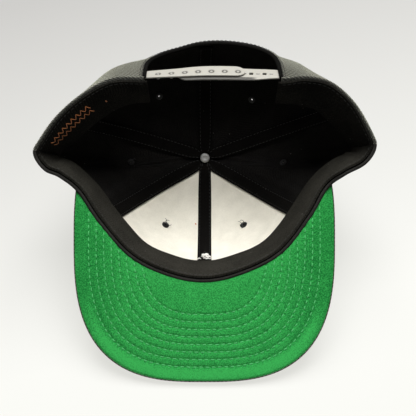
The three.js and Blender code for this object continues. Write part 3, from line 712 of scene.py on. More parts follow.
@dataclass
class Effects:
    """Node groups that several finishes share."""

    wobble_scale: float = 320.0
    thread_arch: float = 0.35
    lint_rarity: float = 0.6

    def __post_init__(self) -> None:
        """Builds each group once."""
        self.weave = self.make_weave()
        self.fuzz = self.make_fuzz()
        self.lint = self.make_lint()

    def make_weave(self) -> bpy.types.NodeTree:
        """Crossed threads: plain where Repeat is 2 and Float 1, twill where they are larger."""
        nodes, given, result = new_group(
            "woven_threads",
            {"Vector": None, "Pitch": 0.5 * MM, "Repeat": 4.0, "Float": 2.0, "Unevenness": 0.3, "Ridge": 0.5},
            ("Height", "Tone"),
        )
        vector = given.outputs["Vector"]
        wobble = nodes.add("TexNoise", {"Vector": vector, "Scale": self.wobble_scale, "Detail": 1.0})
        shift = nodes.maths("MULTIPLY_ADD", wobble.outputs[0], given.outputs["Unevenness"], 0.0)
        split = nodes.add("SeparateXYZ", {0: vector})
        across, along = (
            nodes.maths("ADD", nodes.maths("DIVIDE", split.outputs[axis], given.outputs["Pitch"]), shift)
            for axis in (0, 1)
        )
        column, row = nodes.maths("FLOOR", across), nodes.maths("FLOOR", along)
        phase = nodes.maths("FLOORED_MODULO", nodes.maths("ADD", column, row), given.outputs["Repeat"])
        over = nodes.maths("LESS_THAN", phase, given.outputs["Float"])
        profiles = []
        for main, other in ((across, along), (along, across)):
            arched = nodes.maths("MULTIPLY_ADD", nodes.arc(other), self.thread_arch, 1 - self.thread_arch)
            profiles.append(nodes.maths("MULTIPLY", nodes.arc(main), arched))
        thread = nodes.add("Mix", {0: over, 2: profiles[1], 3: profiles[0]}, data_type="FLOAT").outputs[0]
        turn = nodes.maths("DIVIDE", nodes.maths("ADD", across, along), given.outputs["Repeat"])
        wave = nodes.maths("SINE", nodes.maths("MULTIPLY", turn, 2 * math.pi))
        diagonal = nodes.maths("MULTIPLY_ADD", wave, 0.5, 0.5)
        height = nodes.add("Mix", {0: given.outputs["Ridge"], 2: thread, 3: diagonal}, data_type="FLOAT")
        cell = nodes.add("CombineXYZ", {0: column, 1: row, 2: over})
        tone = nodes.add("TexWhiteNoise", {"Vector": cell.outputs[0]}, noise_dimensions="3D")
        nodes.link(height.outputs[0], result.inputs["Height"])
        nodes.link(tone.outputs["Value"], result.inputs["Tone"])
        return nodes.tree

    def make_fuzz(self) -> bpy.types.NodeTree:
        """Fine loose fibres and the slow unevenness of cloth."""
        nodes, given, result = new_group(
            "loose_fibres", {"Vector": None, "Fibre": 0.9 * MM, "Patch": 14 * MM}, ("Height", "Tone")
        )
        vector = given.outputs["Vector"]
        for size, detail, label in (("Fibre", 4.0, "Height"), ("Patch", 2.0, "Tone")):
            scale = nodes.maths("DIVIDE", 1.0, given.outputs[size])
            noise = nodes.add("TexNoise", {"Vector": vector, "Scale": scale, "Detail": detail})
            nodes.link(noise.outputs[0], result.inputs[label])
        return nodes.tree

    def make_lint(self) -> bpy.types.NodeTree:
        """Sparse specks of pale lint."""
        nodes, given, result = new_group(
            "lint_specks", {"Vector": None, "Spacing": 7 * MM, "Size": 0.06}, ("Mask",)
        )
        scale = nodes.maths("DIVIDE", 1.0, given.outputs["Spacing"])
        cells = nodes.add("TexVoronoi", {"Vector": given.outputs["Vector"], "Scale": scale})
        near = nodes.maths("LESS_THAN", cells.outputs["Distance"], given.outputs["Size"])
        chosen = nodes.add("SeparateColor", {0: cells.outputs["Color"]})
        rare = nodes.maths("GREATER_THAN", chosen.outputs[0], self.lint_rarity)
        nodes.link(nodes.maths("MULTIPLY", near, rare), result.inputs["Mask"])
        return nodes.tree


Colour = tuple[float, float, float]


def shaded(colour: Colour, share: float) -> Colour:
    """A colour made darker."""
    return tuple(part * share for part in colour)


def opaque(colour: Colour) -> tuple[float, float, float, float]:
    """A colour with full alpha."""
    return (*colour, 1.0)


@dataclass(frozen=True)
class ClothFinish:
    """Woven cloth: its threads, loose fibres, lint and sheen, with light or shade painted from its third
    weave number.
    """

    name: str
    low: Colour
    high: Colour
    pitch: float
    repeat: float = 4.0
    floats: float = 2.0
    ridge: float = 0.5
    weave_depth: float = 0.12 * MM
    fuzz_depth: float = 0.12 * MM
    fibre: float = 0.9 * MM
    patch: float = 14 * MM
    patchiness: float = 0.5
    graininess: float = 1.0
    thread_contrast: float = 0.5
    speckle: float = 0.3
    # How far the third weave number paints light or shade into the colour.
    painted_light_lift: float = 0.0
    roughness: float = 0.9
    specular: float = 0.25
    sheen: float = 0.1
    sheen_roughness: float = 0.5
    sheen_tint: Colour = (1.0, 1.0, 1.0)
    lint: float = 0.0
    lint_colour: Colour = (0.3, 0.29, 0.27)

    def material(self, effects: Effects) -> bpy.types.Material:
        """Builds the material."""
        made, nodes, shader = new_material(self.name)
        place = nodes.cloth()
        solid = nodes.solid()
        woven = nodes.group(
            effects.weave,
            {
                "Vector": place, "Pitch": self.pitch, "Repeat": self.repeat, "Float": self.floats,
                "Ridge": self.ridge,
            },
        )
        fibres = nodes.group(effects.fuzz, {"Vector": solid, "Fibre": self.fibre, "Patch": self.patch})
        smooth = nodes.add("SeparateXYZ", {0: place}).outputs[2]
        grains = (
            (woven.outputs["Height"], self.thread_contrast),
            (woven.outputs["Tone"], self.speckle),
            (fibres.outputs["Tone"], self.patchiness),
            (fibres.outputs["Height"], self.graininess),
        )
        # The third weave number lifts or lowers the colour share: painted light and shade.
        share = nodes.maths("MULTIPLY_ADD", smooth, self.painted_light_lift, 0.5)
        for value, weight in grains:
            share = nodes.maths("MULTIPLY_ADD", nodes.maths("SUBTRACT", value, 0.5), weight, share)
        share = nodes.add("Clamp", {0: share}).outputs[0]
        colour = nodes.blend(share, self.low, self.high)
        if self.lint:
            specks = nodes.group(effects.lint, {"Vector": solid})
            mask = nodes.maths("MULTIPLY", specks.outputs["Mask"], self.lint)
            colour = nodes.blend(mask, colour, self.lint_colour)
        raised = nodes.bump(1.0, self.fuzz_depth, fibres.outputs["Height"])
        raised = nodes.bump(1.0, self.weave_depth, woven.outputs["Height"], Normal=raised)
        nodes.feed(
            shader,
            {
                "Base Color": colour,
                "Roughness": self.roughness,
                "Specular IOR Level": self.specular,
                "Sheen Weight": self.sheen,
                "Sheen Roughness": self.sheen_roughness,
                "Sheen Tint": opaque(self.sheen_tint),
                "Normal": raised,
            },
        )
        return made


@dataclass(frozen=True)
class ThreadFinish:
    """Twisted sewing thread."""

    name: str
    colour: Colour
    roughness: float = 0.65
    twist: float = 0.7 * MM
    sheen: float = 0.15
    shade: float = 0.6

    def material(self, effects: Effects) -> bpy.types.Material:
        """Builds the material."""
        made, nodes, shader = new_material(self.name)
        turns = {"Vector": nodes.cloth(), "Scale": 0.3 / self.twist, "Distortion": 0.4}
        wave = nodes.add("TexWave", turns, bands_direction="X").outputs["Fac"]
        fibres = nodes.group(effects.fuzz, {"Vector": nodes.solid(), "Fibre": 0.5 * MM, "Patch": 5 * MM})
        tone = nodes.maths("MULTIPLY", fibres.outputs["Tone"], 0.5)
        share = nodes.maths("MULTIPLY_ADD", wave, 0.5, tone)
        colour = nodes.blend(share, shaded(self.colour, self.shade), self.colour)
        surface = {"Base Color": colour, "Normal": nodes.bump(0.6, 0.08 * MM, wave)}
        nodes.feed(shader, {**surface, "Roughness": self.roughness, "Sheen Weight": self.sheen})
        return made


@dataclass(frozen=True)
class PlasticFinish:
    """Flexible moulded plastic with a fine satin grain, painted shade in its sunk marks and painted shadow on
    the hidden end's lip.
    """

    name: str
    colour: Colour
    shade: Colour
    # Colour of the painted shade in the marks and the painted shadow on the lip.
    painted_shade: Colour = (0.045, 0.042, 0.035)
    roughness: float = 0.5
    soft: float = 0.12
    soft_depth: Colour = (0.8 * MM, 0.7 * MM, 0.5 * MM)

    def material(self, effects: Effects) -> bpy.types.Material:
        """Builds the material."""
        made, nodes, shader = new_material(self.name)
        grain = nodes.group(effects.fuzz, {"Vector": nodes.solid(), "Fibre": 0.6 * MM, "Patch": 9 * MM})
        height = grain.outputs["Height"]
        clean = nodes.blend(grain.outputs["Tone"], self.shade, self.colour)
        # The third weave number paints shade into the sunk marks and shadow onto the lip.
        depth = nodes.add("SeparateXYZ", {0: nodes.cloth()}).outputs[2]
        nodes.feed(
            shader,
            {
                "Base Color": nodes.blend(depth, clean, self.painted_shade),
                "Roughness": nodes.maths("MULTIPLY_ADD", height, 0.2, self.roughness - 0.1),
                "Subsurface Weight": self.soft,
                "Subsurface Radius": self.soft_depth,
                "Subsurface Scale": 1.0,
                "Normal": nodes.bump(0.5, 0.03 * MM, height),
            },
        )
        return made


@dataclass(frozen=True)
class MetalFinish:
    """Dull stamped metal with fine scratches."""

    name: str
    colour: Colour
    roughness: float = 0.38
    shade: float = 0.75
    metallic: float = 0.6

    def material(self, effects: Effects) -> bpy.types.Material:
        """Builds the material."""
        made, nodes, shader = new_material(self.name)
        grain = nodes.group(effects.fuzz, {"Vector": nodes.solid(), "Fibre": 0.25 * MM, "Patch": 2.5 * MM})
        height = grain.outputs["Height"]
        nodes.feed(
            shader,
            {
                "Base Color": nodes.blend(
                    grain.outputs["Tone"], shaded(self.colour, self.shade), self.colour
                ),
                "Metallic": self.metallic,
                "Roughness": nodes.maths("MULTIPLY_ADD", height, 0.3, self.roughness - 0.15),
                "Normal": nodes.bump(0.4, 0.02 * MM, height),
            },
        )
        return made


def new_material(name: str) -> tuple[bpy.types.Material, Nodes, bpy.types.Node]:
    """A material with a Principled shader.

    Args:
        name: The material's name.

    Returns:
        The material, its node builder and its shader.
    """
    made = bpy.data.materials.new(name)
    made.use_nodes = True
    shader = next(node for node in made.node_tree.nodes if node.type == "BSDF_PRINCIPLED")
    return made, Nodes(made.node_tree), shader


class Wardrobe:
    """Every finish of the cap, made once."""

    def __init__(self) -> None:
        """Builds the shared effects and the materials."""
        effects = Effects()
        finishes = {
            "wool": ClothFinish(
                "black_wool_twill", (0.004, 0.004, 0.0042), (0.10, 0.10, 0.088), 0.7 * MM, ridge=0.65,
                weave_depth=0.7 * MM, fuzz_depth=0.5 * MM, fibre=1.3 * MM, thread_contrast=1.0, speckle=0.7,
                sheen=0.9, sheen_roughness=0.4, sheen_tint=(1.0, 1.0, 0.8), specular=0.05, lint=0.5,
            ),
            # A darker copy of the black wool without sheen for the panels' inner faces: painted shade inside
            # the crown.
            "inside_wool": ClothFinish(
                "black_inside_twill_shaded", (0.0016, 0.0015, 0.0015), (0.016, 0.015, 0.0138), 0.5 * MM,
                weave_depth=0.1 * MM, fuzz_depth=0.15 * MM, sheen=0.0, specular=0.04, lint=0.25,
            ),
            # A darker, almost sheenless copy of the black wool for the front of the hem roll: painted shade.
            "hem": ClothFinish(
                "black_hem_twill_shaded", (0.006, 0.006, 0.0055), (0.045, 0.043, 0.038), 0.6 * MM,
                weave_depth=0.15 * MM, fuzz_depth=0.2 * MM, sheen=0.05, sheen_roughness=0.4, specular=0.05,
            ),
            # The green's colour is lifted and lowered by its third weave number: painted sheen and painted
            # shade.
            "green": ClothFinish(
                "green_brim_twill", (0.004, 0.165, 0.026), (0.054, 0.55, 0.112), 0.55 * MM, ridge=0.2,
                weave_depth=0.1 * MM, fuzz_depth=0.2 * MM, fibre=0.65 * MM, patch=11 * MM, patchiness=0.25,
                graininess=1.35, thread_contrast=0.3, speckle=0.6, painted_light_lift=0.5, sheen=0.06,
                sheen_tint=(0.5, 1.0, 0.65), specular=0.1,
            ),
            "buckram": ClothFinish(
                "white_buckram", (0.72, 0.685, 0.58), (0.93, 0.892, 0.775), 0.85 * MM, repeat=2.0, floats=1.0,
                ridge=0.0, weave_depth=0.05 * MM, fuzz_depth=0.1 * MM, patch=9 * MM, patchiness=0.9,
                graininess=0.5, thread_contrast=0.3, speckle=0.15, specular=0.2, sheen=0.05,
            ),
            # The band's colour is lowered by its third weave number: painted shade on its rear.
            "band": ClothFinish(
                "dark_band_twill", (0.0035, 0.0033, 0.0026), (0.038, 0.036, 0.029), 0.5 * MM,
                weave_depth=0.12 * MM, fuzz_depth=0.2 * MM, graininess=1.0, painted_light_lift=-0.42, sheen=0.0,
                sheen_tint=(1.0, 0.97, 0.88), specular=0.05, lint=0.3,
            ),
            "tape": ClothFinish(
                "dark_seam_tape", (0.0012, 0.0011, 0.001), (0.0065, 0.006, 0.0052), 0.6 * MM, repeat=2.0,
                floats=1.0, ridge=0.0, weave_depth=0.14 * MM, fuzz_depth=0.12 * MM, sheen=0.0, specular=0.04,
                lint=0.25,
            ),
            "black_thread": ThreadFinish("black_thread", (0.012, 0.012, 0.011), sheen=0.0),
            # A darker copy of the black thread for the eyelets: painted shade to match the shaded inside.
            "eyelet_thread_shaded": ThreadFinish("eyelet_thread_shaded", (0.007, 0.007, 0.0065), sheen=0.0),
            "green_thread": ThreadFinish("green_thread", (0.105, 0.64, 0.20), sheen=0.03, shade=0.75),
            "orange_thread": ThreadFinish("orange_thread", (0.80, 0.27, 0.07)),
            "white_thread": ThreadFinish("white_thread", (0.90, 0.88, 0.82), shade=0.8),
            "plastic": PlasticFinish("cream_strap_plastic", (0.385, 0.371, 0.325), (0.335, 0.322, 0.283)),
            "metal": MetalFinish("dull_rivet_metal", (0.42, 0.42, 0.41), roughness=0.6),
        }
        self.made = {key: finish.material(effects) for key, finish in finishes.items()}

    def __getitem__(self, key: str) -> bpy.types.Material:
        """The material under a short name."""
        return self.made[key]


class Maker:
    """Turns shapes into the scene's pieces."""

    def __init__(self, form: CapForm, wardrobe: Wardrobe) -> None:
        """Keeps the cap's form and its finishes."""
        self.form = form
        self.wardrobe = wardrobe
        self.triangles = 0

    def piece(
        self, name: str, shape: Shape, finish: str, slot: Slot, stands_for: Sequence[str] = (),
        sharp: float = 40, lining: str | None = None,
    ) -> bpy.types.Object:
        """Makes one piece of the cap.

        Args:
            name: The piece's name.
            shape: Its shape in the cap's frame.
            finish: Key of its material.
            slot: The record's material slot.
            stands_for: CAD nodes that it replaces.
            sharp: Edges bent by more degrees than this stay sharp.
            lining: Key of a darker copy of the finish that paints shade, used on the faces whose third weave
                number is above a half, such as the inner face.

        Returns:
            The piece.
        """
        mesh = bpy.data.meshes.new(name)
        mesh.from_pydata(self.form.world(shape.points).tolist(), [], shape.faces)
        attribute = mesh.attributes.new("cloth", "FLOAT_VECTOR", "POINT")
        attribute.data.foreach_set("vector", shape.weave.astype(np.float32).ravel())
        mesh.materials.append(self.wardrobe[finish])
        if lining:
            mesh.materials.append(self.wardrobe[lining])
            inner = [all(shape.weave[corner, 2] > 0.5 for corner in face) for face in shape.faces]
            mesh.polygons.foreach_set("material_index", np.array(inner, np.int32))
        mesh.polygons.foreach_set("use_smooth", np.ones(len(mesh.polygons), bool))
        mesh.set_sharp_from_angle(angle=math.radians(sharp))
        mesh.update()
        made = bpy.data.objects.new(name, mesh)
        bpy.context.scene.collection.objects.link(made)
        if stands_for:
            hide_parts(*stands_for)
        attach(made, BODY)
        triangles = sum(len(face) - 2 for face in shape.faces)
        self.triangles += triangles
        log.info("%s: %d triangles", name, triangles)
        return made


@dataclass
class Part:
    """A part of the cap: what makes its pieces, and the form that they follow."""

    maker: Maker

    def __post_init__(self) -> None:
        """Keeps the form close at hand."""
        self.form = self.maker.form


@dataclass
class Crown(Part):
    """Six panels of black cloth with the rolled hem along the rim."""

    seam_dip: float = 0.9 * MM
    seam_width: float = 1.3 * MM
    panel_start: float = 0.7 * MM
    stitch_aside: float = 3.4 * MM
    arch_straight: float = 12 * MM
    arch_squareness: float = 3.1
    binding_width: float = 2.4 * MM
    facing: float = 7.5 * MM
    hem_share: float = 0.8
    hem_push: float = 0.8 * MM
    tab_fold: float = 1.2
    puff_height: float = 1.7 * MM
    puff_aside: float = 12 * MM
    puff_width: float = 3.5 * MM
    rows: int = 70
    low_rows: int = 12

    def arch_rise(self, place: Array) -> Array:
        """Length up the crown of the rear opening's edge."""
        side = np.clip(np.abs(place - ARCH_MIDDLE) / ARCH_HALF, 0, 1)
        rise = (1 - side**self.arch_squareness) ** (1 / self.arch_squareness)
        return self.arch_straight + (self.form.arch_height - self.arch_straight) * rise

    def seam_depth(self, place: Array, height: Array, seams: Sequence[float]) -> Array:
        """How far the cloth dips into the seams beside a panel."""
        dip = np.zeros(np.broadcast(place, height).shape)
        reach = self.form.stretch(place, height)
        for seam in seams:
            dip = dip + self.seam_dip * bell(np.abs(place - seam) * reach, self.seam_width)
        return dip

    def puff(self, place: Array, height: Array) -> Array:
        """How far the side cloth stands in beside the front tapes, where the stiff panels end."""
        reach = self.form.stretch(place, height)
        rise = np.zeros(np.broadcast(place, height).shape)
        for seam, side in ((Seam.FRONT_LEFT.value, 1), (Seam.FRONT_RIGHT.value, -1)):
            away = (place - seam) * side * reach
            rise = rise + self.puff_height * bell(away - self.puff_aside, self.puff_width) * (away > 0)
        return rise * np.sin(np.pi * np.clip(height, 0, 1)) ** 0.5

    def panel(self, name: str, start: float, end: float, columns: int) -> None:
        """One of the four panels without an opening."""
        places = start + (end - start) * edged(columns, 0.03)
        low = self.form.height_at(places, self.panel_start)
        high = self.form.top_height(places)
        share = np.linspace(0, 1, self.rows)[:, None]
        heights = low + (high - low) * share
        grid = np.broadcast_to(places, heights.shape)
        self.cloth(name, grid, heights, (start, end), None)

    def rear_panel(self, name: str, seam: float, tab: float, middle: float, columns: int) -> None:
        """A rear panel, from its side seam past the opening's straight edge to the rear seam."""
        beside = seam + (tab - seam) * edged(columns, 0.03)
        quarter = np.linspace(0, np.pi / 2, 34)[1:]
        over = tab + (middle - tab) * (1 - np.cos(quarter))
        places = np.concatenate([beside, over])
        low = self.form.height_at(places, self.panel_start)
        arch = self.form.height_at(places, self.arch_rise(places) + 0.4 * MM)
        high = self.form.top_height(places)
        lower = low + (arch - low) * np.linspace(0, 1, self.low_rows)[:-1, None]
        upper = arch + (high - arch) * np.linspace(0, 1, self.rows)[:, None]
        heights = np.concatenate([lower, upper])
        keep = np.ones((heights.shape[0] - 1, heights.shape[1] - 1), bool)
        keep[: self.low_rows - 1, len(beside) - 1 :] = False
        grid = np.broadcast_to(places, heights.shape)
        if seam > middle:
            grid, heights, keep = grid[:, ::-1], heights[:, ::-1], keep[:, ::-1]
        self.cloth(name, grid, heights, (seam, middle), keep)

    def cloth(
        self, name: str, places: Array, heights: Array, seams: Sequence[float], keep: Array | None
    ) -> None:
        """Makes a panel from the places and heights of its grid."""
        places, heights, outside = self.form.pierced(name.removeprefix("panel_"), places, heights)
        keep = outside if keep is None else keep & outside
        dip = self.seam_depth(places, heights, seams)
        outer = self.form.skin(places, heights, dip)
        inner = self.form.skin(places, heights, self.form.cloth + dip * 0.3 + self.puff(places, heights))
        shape = shell(outer, inner, keep)
        # The inner face takes the darker copy of the wool: painted shade inside the crown.
        self.maker.piece(f"{name}_cloth", shape, "wool", Slot.CROWN, [name], lining="inside_wool")

    def seam_stitches(self) -> None:
        """Two rows of stitches beside every seam, outside the crown."""
        row = StitchRow(length=2.4 * MM, width=0.45 * MM)
        runs = []
        for number, seam in enumerate(Seam):
            start = self.form.arch_height + 4 * MM if seam is Seam.REAR else 4 * MM
            low = float(self.form.height_at(np.array([seam.value]), start)[0])
            for side in (-1, 1):
                height = np.linspace(low, 0.93, 90)
                place = self.form.shifted(np.full(90, float(seam.value)), height, side * self.stitch_aside)
                path = self.form.skin(place, height)
                runs.append(row.shape(path, self.form.normal(place, height), seed=10 + 2 * number + side))
        self.maker.piece("crown_seam_stitches", Shape.joined(runs), "black_thread", Slot.THREAD)

    def hem(self) -> None:
        """The rolled edge all along the rim, from tab to tab round the front."""
        place = np.linspace(TAB_RIGHT - ROWS, TAB_LEFT, 420)
        near = np.full_like(place, 2 * self.form.near)
        outward = self.form.normal(place, near)
        up = unit(self.form.base(place, near) - self.form.base(place, np.zeros_like(place)))
        to_tab = np.minimum(np.abs(place - TAB_LEFT), np.abs(place - TAB_RIGHT + ROWS))
        wide = self.form.hem_width * (1 + self.tab_fold * ease((1.8 - to_tab) / 1.4))[:, None]
        front = ease(BENDS[0] - np.abs(place))[:, None]
        aside = outward * (self.hem_push * front - wide / 2)
        centre = self.form.rim_point(place) + aside + up * self.form.hem_height / 2
        corners = ring(14, 0.8)
        loops = centre[:, None] + (
            outward[:, None] * corners[None, :, :1] * wide[:, None] / 2
            + up[:, None] * corners[None, :, 1:] * self.form.hem_height * self.hem_share
        )
        shape = swept(loops)
        # The front of the roll takes the darker copy of the wool: painted shade.
        shape.weave[:, 2] = np.repeat(np.abs(place) < BENDS[0], len(corners))
        self.maker.piece("crown_hem_roll", shape, "wool", Slot.CROWN, ["crown_hem"], lining="hem")

    def binding(self) -> None:
        """The turned edge round the rear opening, with its row of stitches."""
        over = ARCH_MIDDLE - ARCH_HALF * np.cos(np.linspace(0, np.pi, 150))
        straight = np.linspace(0.1, 0.97, 14)
        places = np.concatenate([np.full(14, float(TAB_LEFT)), over, np.full(14, float(TAB_RIGHT))])
        rises = np.concatenate(
            [self.arch_straight * straight, self.arch_rise(over), self.arch_straight * straight[::-1]]
        )
        height = self.form.height_at(places, rises)
        outward = self.form.normal(places, height)
        edge = self.form.skin(places, height, self.form.cloth / 2)
        into = unit(np.cross(outward, unit(np.gradient(edge, axis=0))))
        half = self.form.cloth / 2 + 0.05 * MM
        fold = half + 0.55 * MM
        side = np.abs(places - ARCH_MIDDLE) / ARCH_HALF
        facing = self.facing * (0.15 + 0.85 * ease((1 - side) / 0.4))
        profile = [(facing, half), (facing, fold), (facing * 0.7, fold), (facing * 0.35, fold)]
        back = [(aside, -rise) for aside, rise in profile[::-1]]
        for bent in np.linspace(0, np.pi, 9):
            aside = -self.form.gap - self.binding_width / 2 * math.sin(bent)
            profile.append((np.full_like(facing, aside), fold * math.cos(bent)))
        inside = np.full_like(facing, 0.3 * MM)
        profile += [*back, (inside, -half), (inside, half)]
        loops = np.stack([self.beside(places, height, into, *pair) for pair in profile], axis=1)
        self.maker.piece("arch_edge_binding", swept(loops), "tape", Slot.CROWN, ["arch_binding"], sharp=60)
        row = StitchRow(length=2.3 * MM, width=0.45 * MM)
        runs = []
        for number, aside in enumerate((np.full_like(facing, 1.6 * MM), facing + 1.8 * MM)):
            path = self.beside(places, height, into, aside, fold)
            runs.append(row.shape(path, outward, seed=30 + number))
        self.maker.piece("arch_stitches", Shape.joined(runs), "black_thread", Slot.THREAD)

    def beside(self, places: Array, heights: Array, into: Array, aside: Array, rise: float) -> Array:
        """Points beside the opening's edge: a distance into the cloth and a rise from its middle."""
        place, height = self.form.stepped(places, heights, into * np.reshape(aside, (-1, 1)))
        return self.form.skin(place, height, self.form.cloth / 2 - rise)

    def build(self) -> None:
        """Makes the whole crown."""
        self.panel("panel_front_left", Seam.FRONT.value, Seam.FRONT_LEFT.value, 60)
        self.panel("panel_side_left", Seam.FRONT_LEFT.value, Seam.REAR_LEFT.value, 90)
        self.panel("panel_side_right", Seam.REAR_RIGHT.value, Seam.FRONT_RIGHT.value, 90)
        self.panel("panel_front_right", Seam.FRONT_RIGHT.value, ROWS, 60)
        self.rear_panel("panel_rear_left", Seam.REAR_LEFT.value, TAB_LEFT, Seam.REAR.value, 50)
        self.rear_panel("panel_rear_right", Seam.REAR_RIGHT.value, TAB_RIGHT, Seam.REAR.value, 50)
        self.seam_stitches()
        self.hem()
        self.binding()


def lathe(profile: Sequence[tuple[float, float]], segments: int = 48) -> Shape:
    """Body turned round Z from a profile of (radius, height) pairs that starts and ends on the axis."""
    pairs = np.array(profile)
    loops = np.zeros((len(pairs), segments, 3))
    loops[..., :2] = pairs[:, None, :1] * circle(segments)[None]
    loops[..., 2] = pairs[:, 1:]
    return swept(loops)


def moved(shape: Shape, point: Array, direction: Array) -> Shape:
    """A shape turned so that its Z axis follows a direction, and moved to a point."""
    side = unit(np.cross(np.array([0, 0, 1.0]), direction))
    top = np.cross(direction, side)
    return Shape(shape.points @ np.array([side, top, direction]) + point, shape.faces, shape.weave)


# Flakes of torn buckram on the front tape: aside and up the crown, length and width (mm), turn (degrees).
FLAKES = (
    (0.6, 46.5, 5.6, 3.4, 6),
    (3.2, 43.0, 3.8, 2.4, -12),
    (-4.3, 38.9, 3.2, 1.6, 3),
    (3.0, 38.9, 4.6, 1.8, -2),
    (-0.9, 42.8, 1.6, 1.4, 30),
)


@dataclass
class Lining(Part):
    """Stiff white buckram behind the front panels and the tapes over every seam."""

    tape_width: float = 11.2 * MM
    overlap: float = 0.1 * MM
    stitch_share: float = 0.76
    fray_seed: int = 7
    loose_threads: int = 5
    loose_radius: float = 0.22 * MM
    flake: float = 0.4 * MM
    flake_curl: float = 0.5 * MM

    def buckram(self, side: str, start: float, end: float) -> None:
        """One front panel's stiffener."""
        places = start + (end - start) * edged(50, 0.02)
        low = self.form.height_at(places, np.full_like(places, self.form.lining_start))
        high = self.form.top_height(places)
        heights = low + (high - low) * edged(60, 0.01)[:, None]
        grid = np.broadcast_to(places, heights.shape)
        inset = self.form.shifted(grid, heights, np.where(grid < (start + end) / 2, 1, -1) * 0.15 * MM)
        inset, heights, keep = self.form.pierced(f"front_{side}", inset, heights)
        outer = self.form.skin(inset, heights, self.form.buckram_depth)
        inner = self.form.skin(inset, heights, self.form.buckram_depth + self.form.buckram)
        shape = shell(outer, inner, keep)
        self.maker.piece(f"buckram_{side}_cloth", shape, "buckram", Slot.BUCKRAM, [f"buckram_{side}"])

    def reach(self, seam: float, neighbour: float, height: Array) -> Array:
        """Distance that a tape may reach from its seam toward a neighbouring one."""
        depth = self.form.tape_depth + self.form.tape
        middle = self.form.skin(np.full_like(height, (seam + neighbour) / 2), height, depth)
        here = self.form.skin(np.full_like(height, seam), height, depth)
        room = np.linalg.norm(middle - here, axis=-1) + self.overlap
        return np.minimum(self.tape_width / 2, room)

    def tape(self, name: str, seam: float, before: float, after: float, seed: int) -> list[Shape]:
        """One tape; returns its two rows of stitches."""
        start = self.form.arch_height + self.form.gap if seam == Seam.REAR.value else self.form.lining_start
        low = float(self.form.height_at(np.array([seam]), start)[0])
        high = float(self.form.top_height(np.array([seam]))[0])
        height = (low + (high - low) * (1 - (1 - np.linspace(0, 1, 80)) ** 1.6))[:, None]
        side = 2 * edged(14, 0.06) - 1
        reach = np.where(
            side[None] < 0,
            self.reach(seam, before, height[:, 0])[:, None],
            self.reach(seam, after, height[:, 0])[:, None],
        )
        grid = np.broadcast_to(height, (len(height), len(side)))
        place = self.form.shifted(np.full(grid.shape, float(seam)), grid, side * reach)
        edge = np.clip((1 - np.abs(side)) / 0.07, 0, 1)
        half = self.form.tape * 0.5 * quarter_round(edge) + 0.06 * MM
        middle = self.form.tape_depth + self.form.tape / 2
        pucker = 0.1 * MM * np.sin(height * 410) * bell(np.abs(side) - self.stitch_share, 0.16)
        bulge = 0.3 * MM * bell(side, 0.42)
        outer = self.form.skin(place, grid, middle - half)
        inner = self.form.skin(place, grid, middle + half + bulge + pucker)
        self.maker.piece(f"{name}_ribbon", shell(outer, inner), "tape", Slot.TAPE, [name])
        row = StitchRow(length=2.2 * MM, width=0.45 * MM)
        runs = []
        for number, share in enumerate((-self.stitch_share, self.stitch_share)):
            along = height[2:-6, 0]
            neighbour = before if share < 0 else after
            aside = share * self.reach(seam, neighbour, along)
            at = self.form.shifted(np.full_like(along, seam), along, aside)
            path = self.form.skin(at, along, middle + self.form.tape / 2)
            runs.append(row.shape(path, -self.form.normal(at, along), seed=seed + number))
        return runs

    def frayed_bits(self) -> None:
        """Torn white flakes and threads of buckram over the foot of the front tape."""
        chance = np.random.default_rng(self.fray_seed)
        depth = self.form.tape_depth + self.form.tape + 0.6 * MM
        across, along = np.meshgrid(np.linspace(-1, 1, 9), np.linspace(-1, 1, 7))
        bits = []
        for aside, up, long, wide, turn in FLAKES:
            reach = np.sqrt(1 - 0.75 * along**2) * (1 + chance.uniform(-0.25, 0.25, (7, 1)))
            x, y = across * reach * long / 2, along * wide / 2 * (1 + chance.uniform(-0.2, 0.2, (1, 9)))
            turned = math.radians(turn)
            side = (aside + x * math.cos(turned) - y * math.sin(turned)) * MM
            above = (up + x * math.sin(turned) + y * math.cos(turned)) * MM
            height = self.form.height_at(np.zeros_like(x), above)
            place = self.form.shifted(np.zeros_like(x), height, -side)
            lift = depth + self.flake_curl * np.sin(2.1 * x + up) * np.cos(1.3 * y)
            under, over = (self.form.skin(place, height, level) for level in (lift, lift + self.flake))
            bits.append(shell(under, over))
        for _ in range(self.loose_threads):
            share = np.linspace(-0.5, 0.5, 12)
            up = chance.uniform(38, 48) + 3 * share * chance.uniform(-1, 1)
            side = chance.uniform(-4, 5) + 4 * share + 0.4 * np.sin(9 * share)
            height = self.form.height_at(np.zeros(12), up * MM)
            place = self.form.shifted(np.zeros(12), height, -side * MM)
            path = self.form.skin(place, height, depth + 0.9 * MM * np.cos(3 * share))
            bits.append(tube(path, self.loose_radius, 5))
        self.maker.piece("frayed_buckram", Shape.joined(bits), "white_thread", Slot.BUCKRAM)

    def build(self) -> None:
        """Makes the whole lining."""
        self.buckram("left", Seam.FRONT.value, Seam.FRONT_LEFT.value)
        self.buckram("right", Seam.FRONT_RIGHT.value, ROWS)
        seams = [seam.value for seam in Seam]
        names = ("front", "front_left", "rear_left", "rear", "rear_right", "front_right")
        runs = []
        for number, name in enumerate(names):
            before = seams[number - 1] - (ROWS if number == 0 else 0)
            after = seams[(number + 1) % len(seams)] + (ROWS if number == len(seams) - 1 else 0)
            ends = (float(seams[number]), float(before), float(after))
            runs += self.tape(f"tape_{name}", *ends, 50 + 3 * number)
        self.maker.piece("tape_stitches", Shape.joined(runs), "black_thread", Slot.THREAD)
        self.frayed_bits()


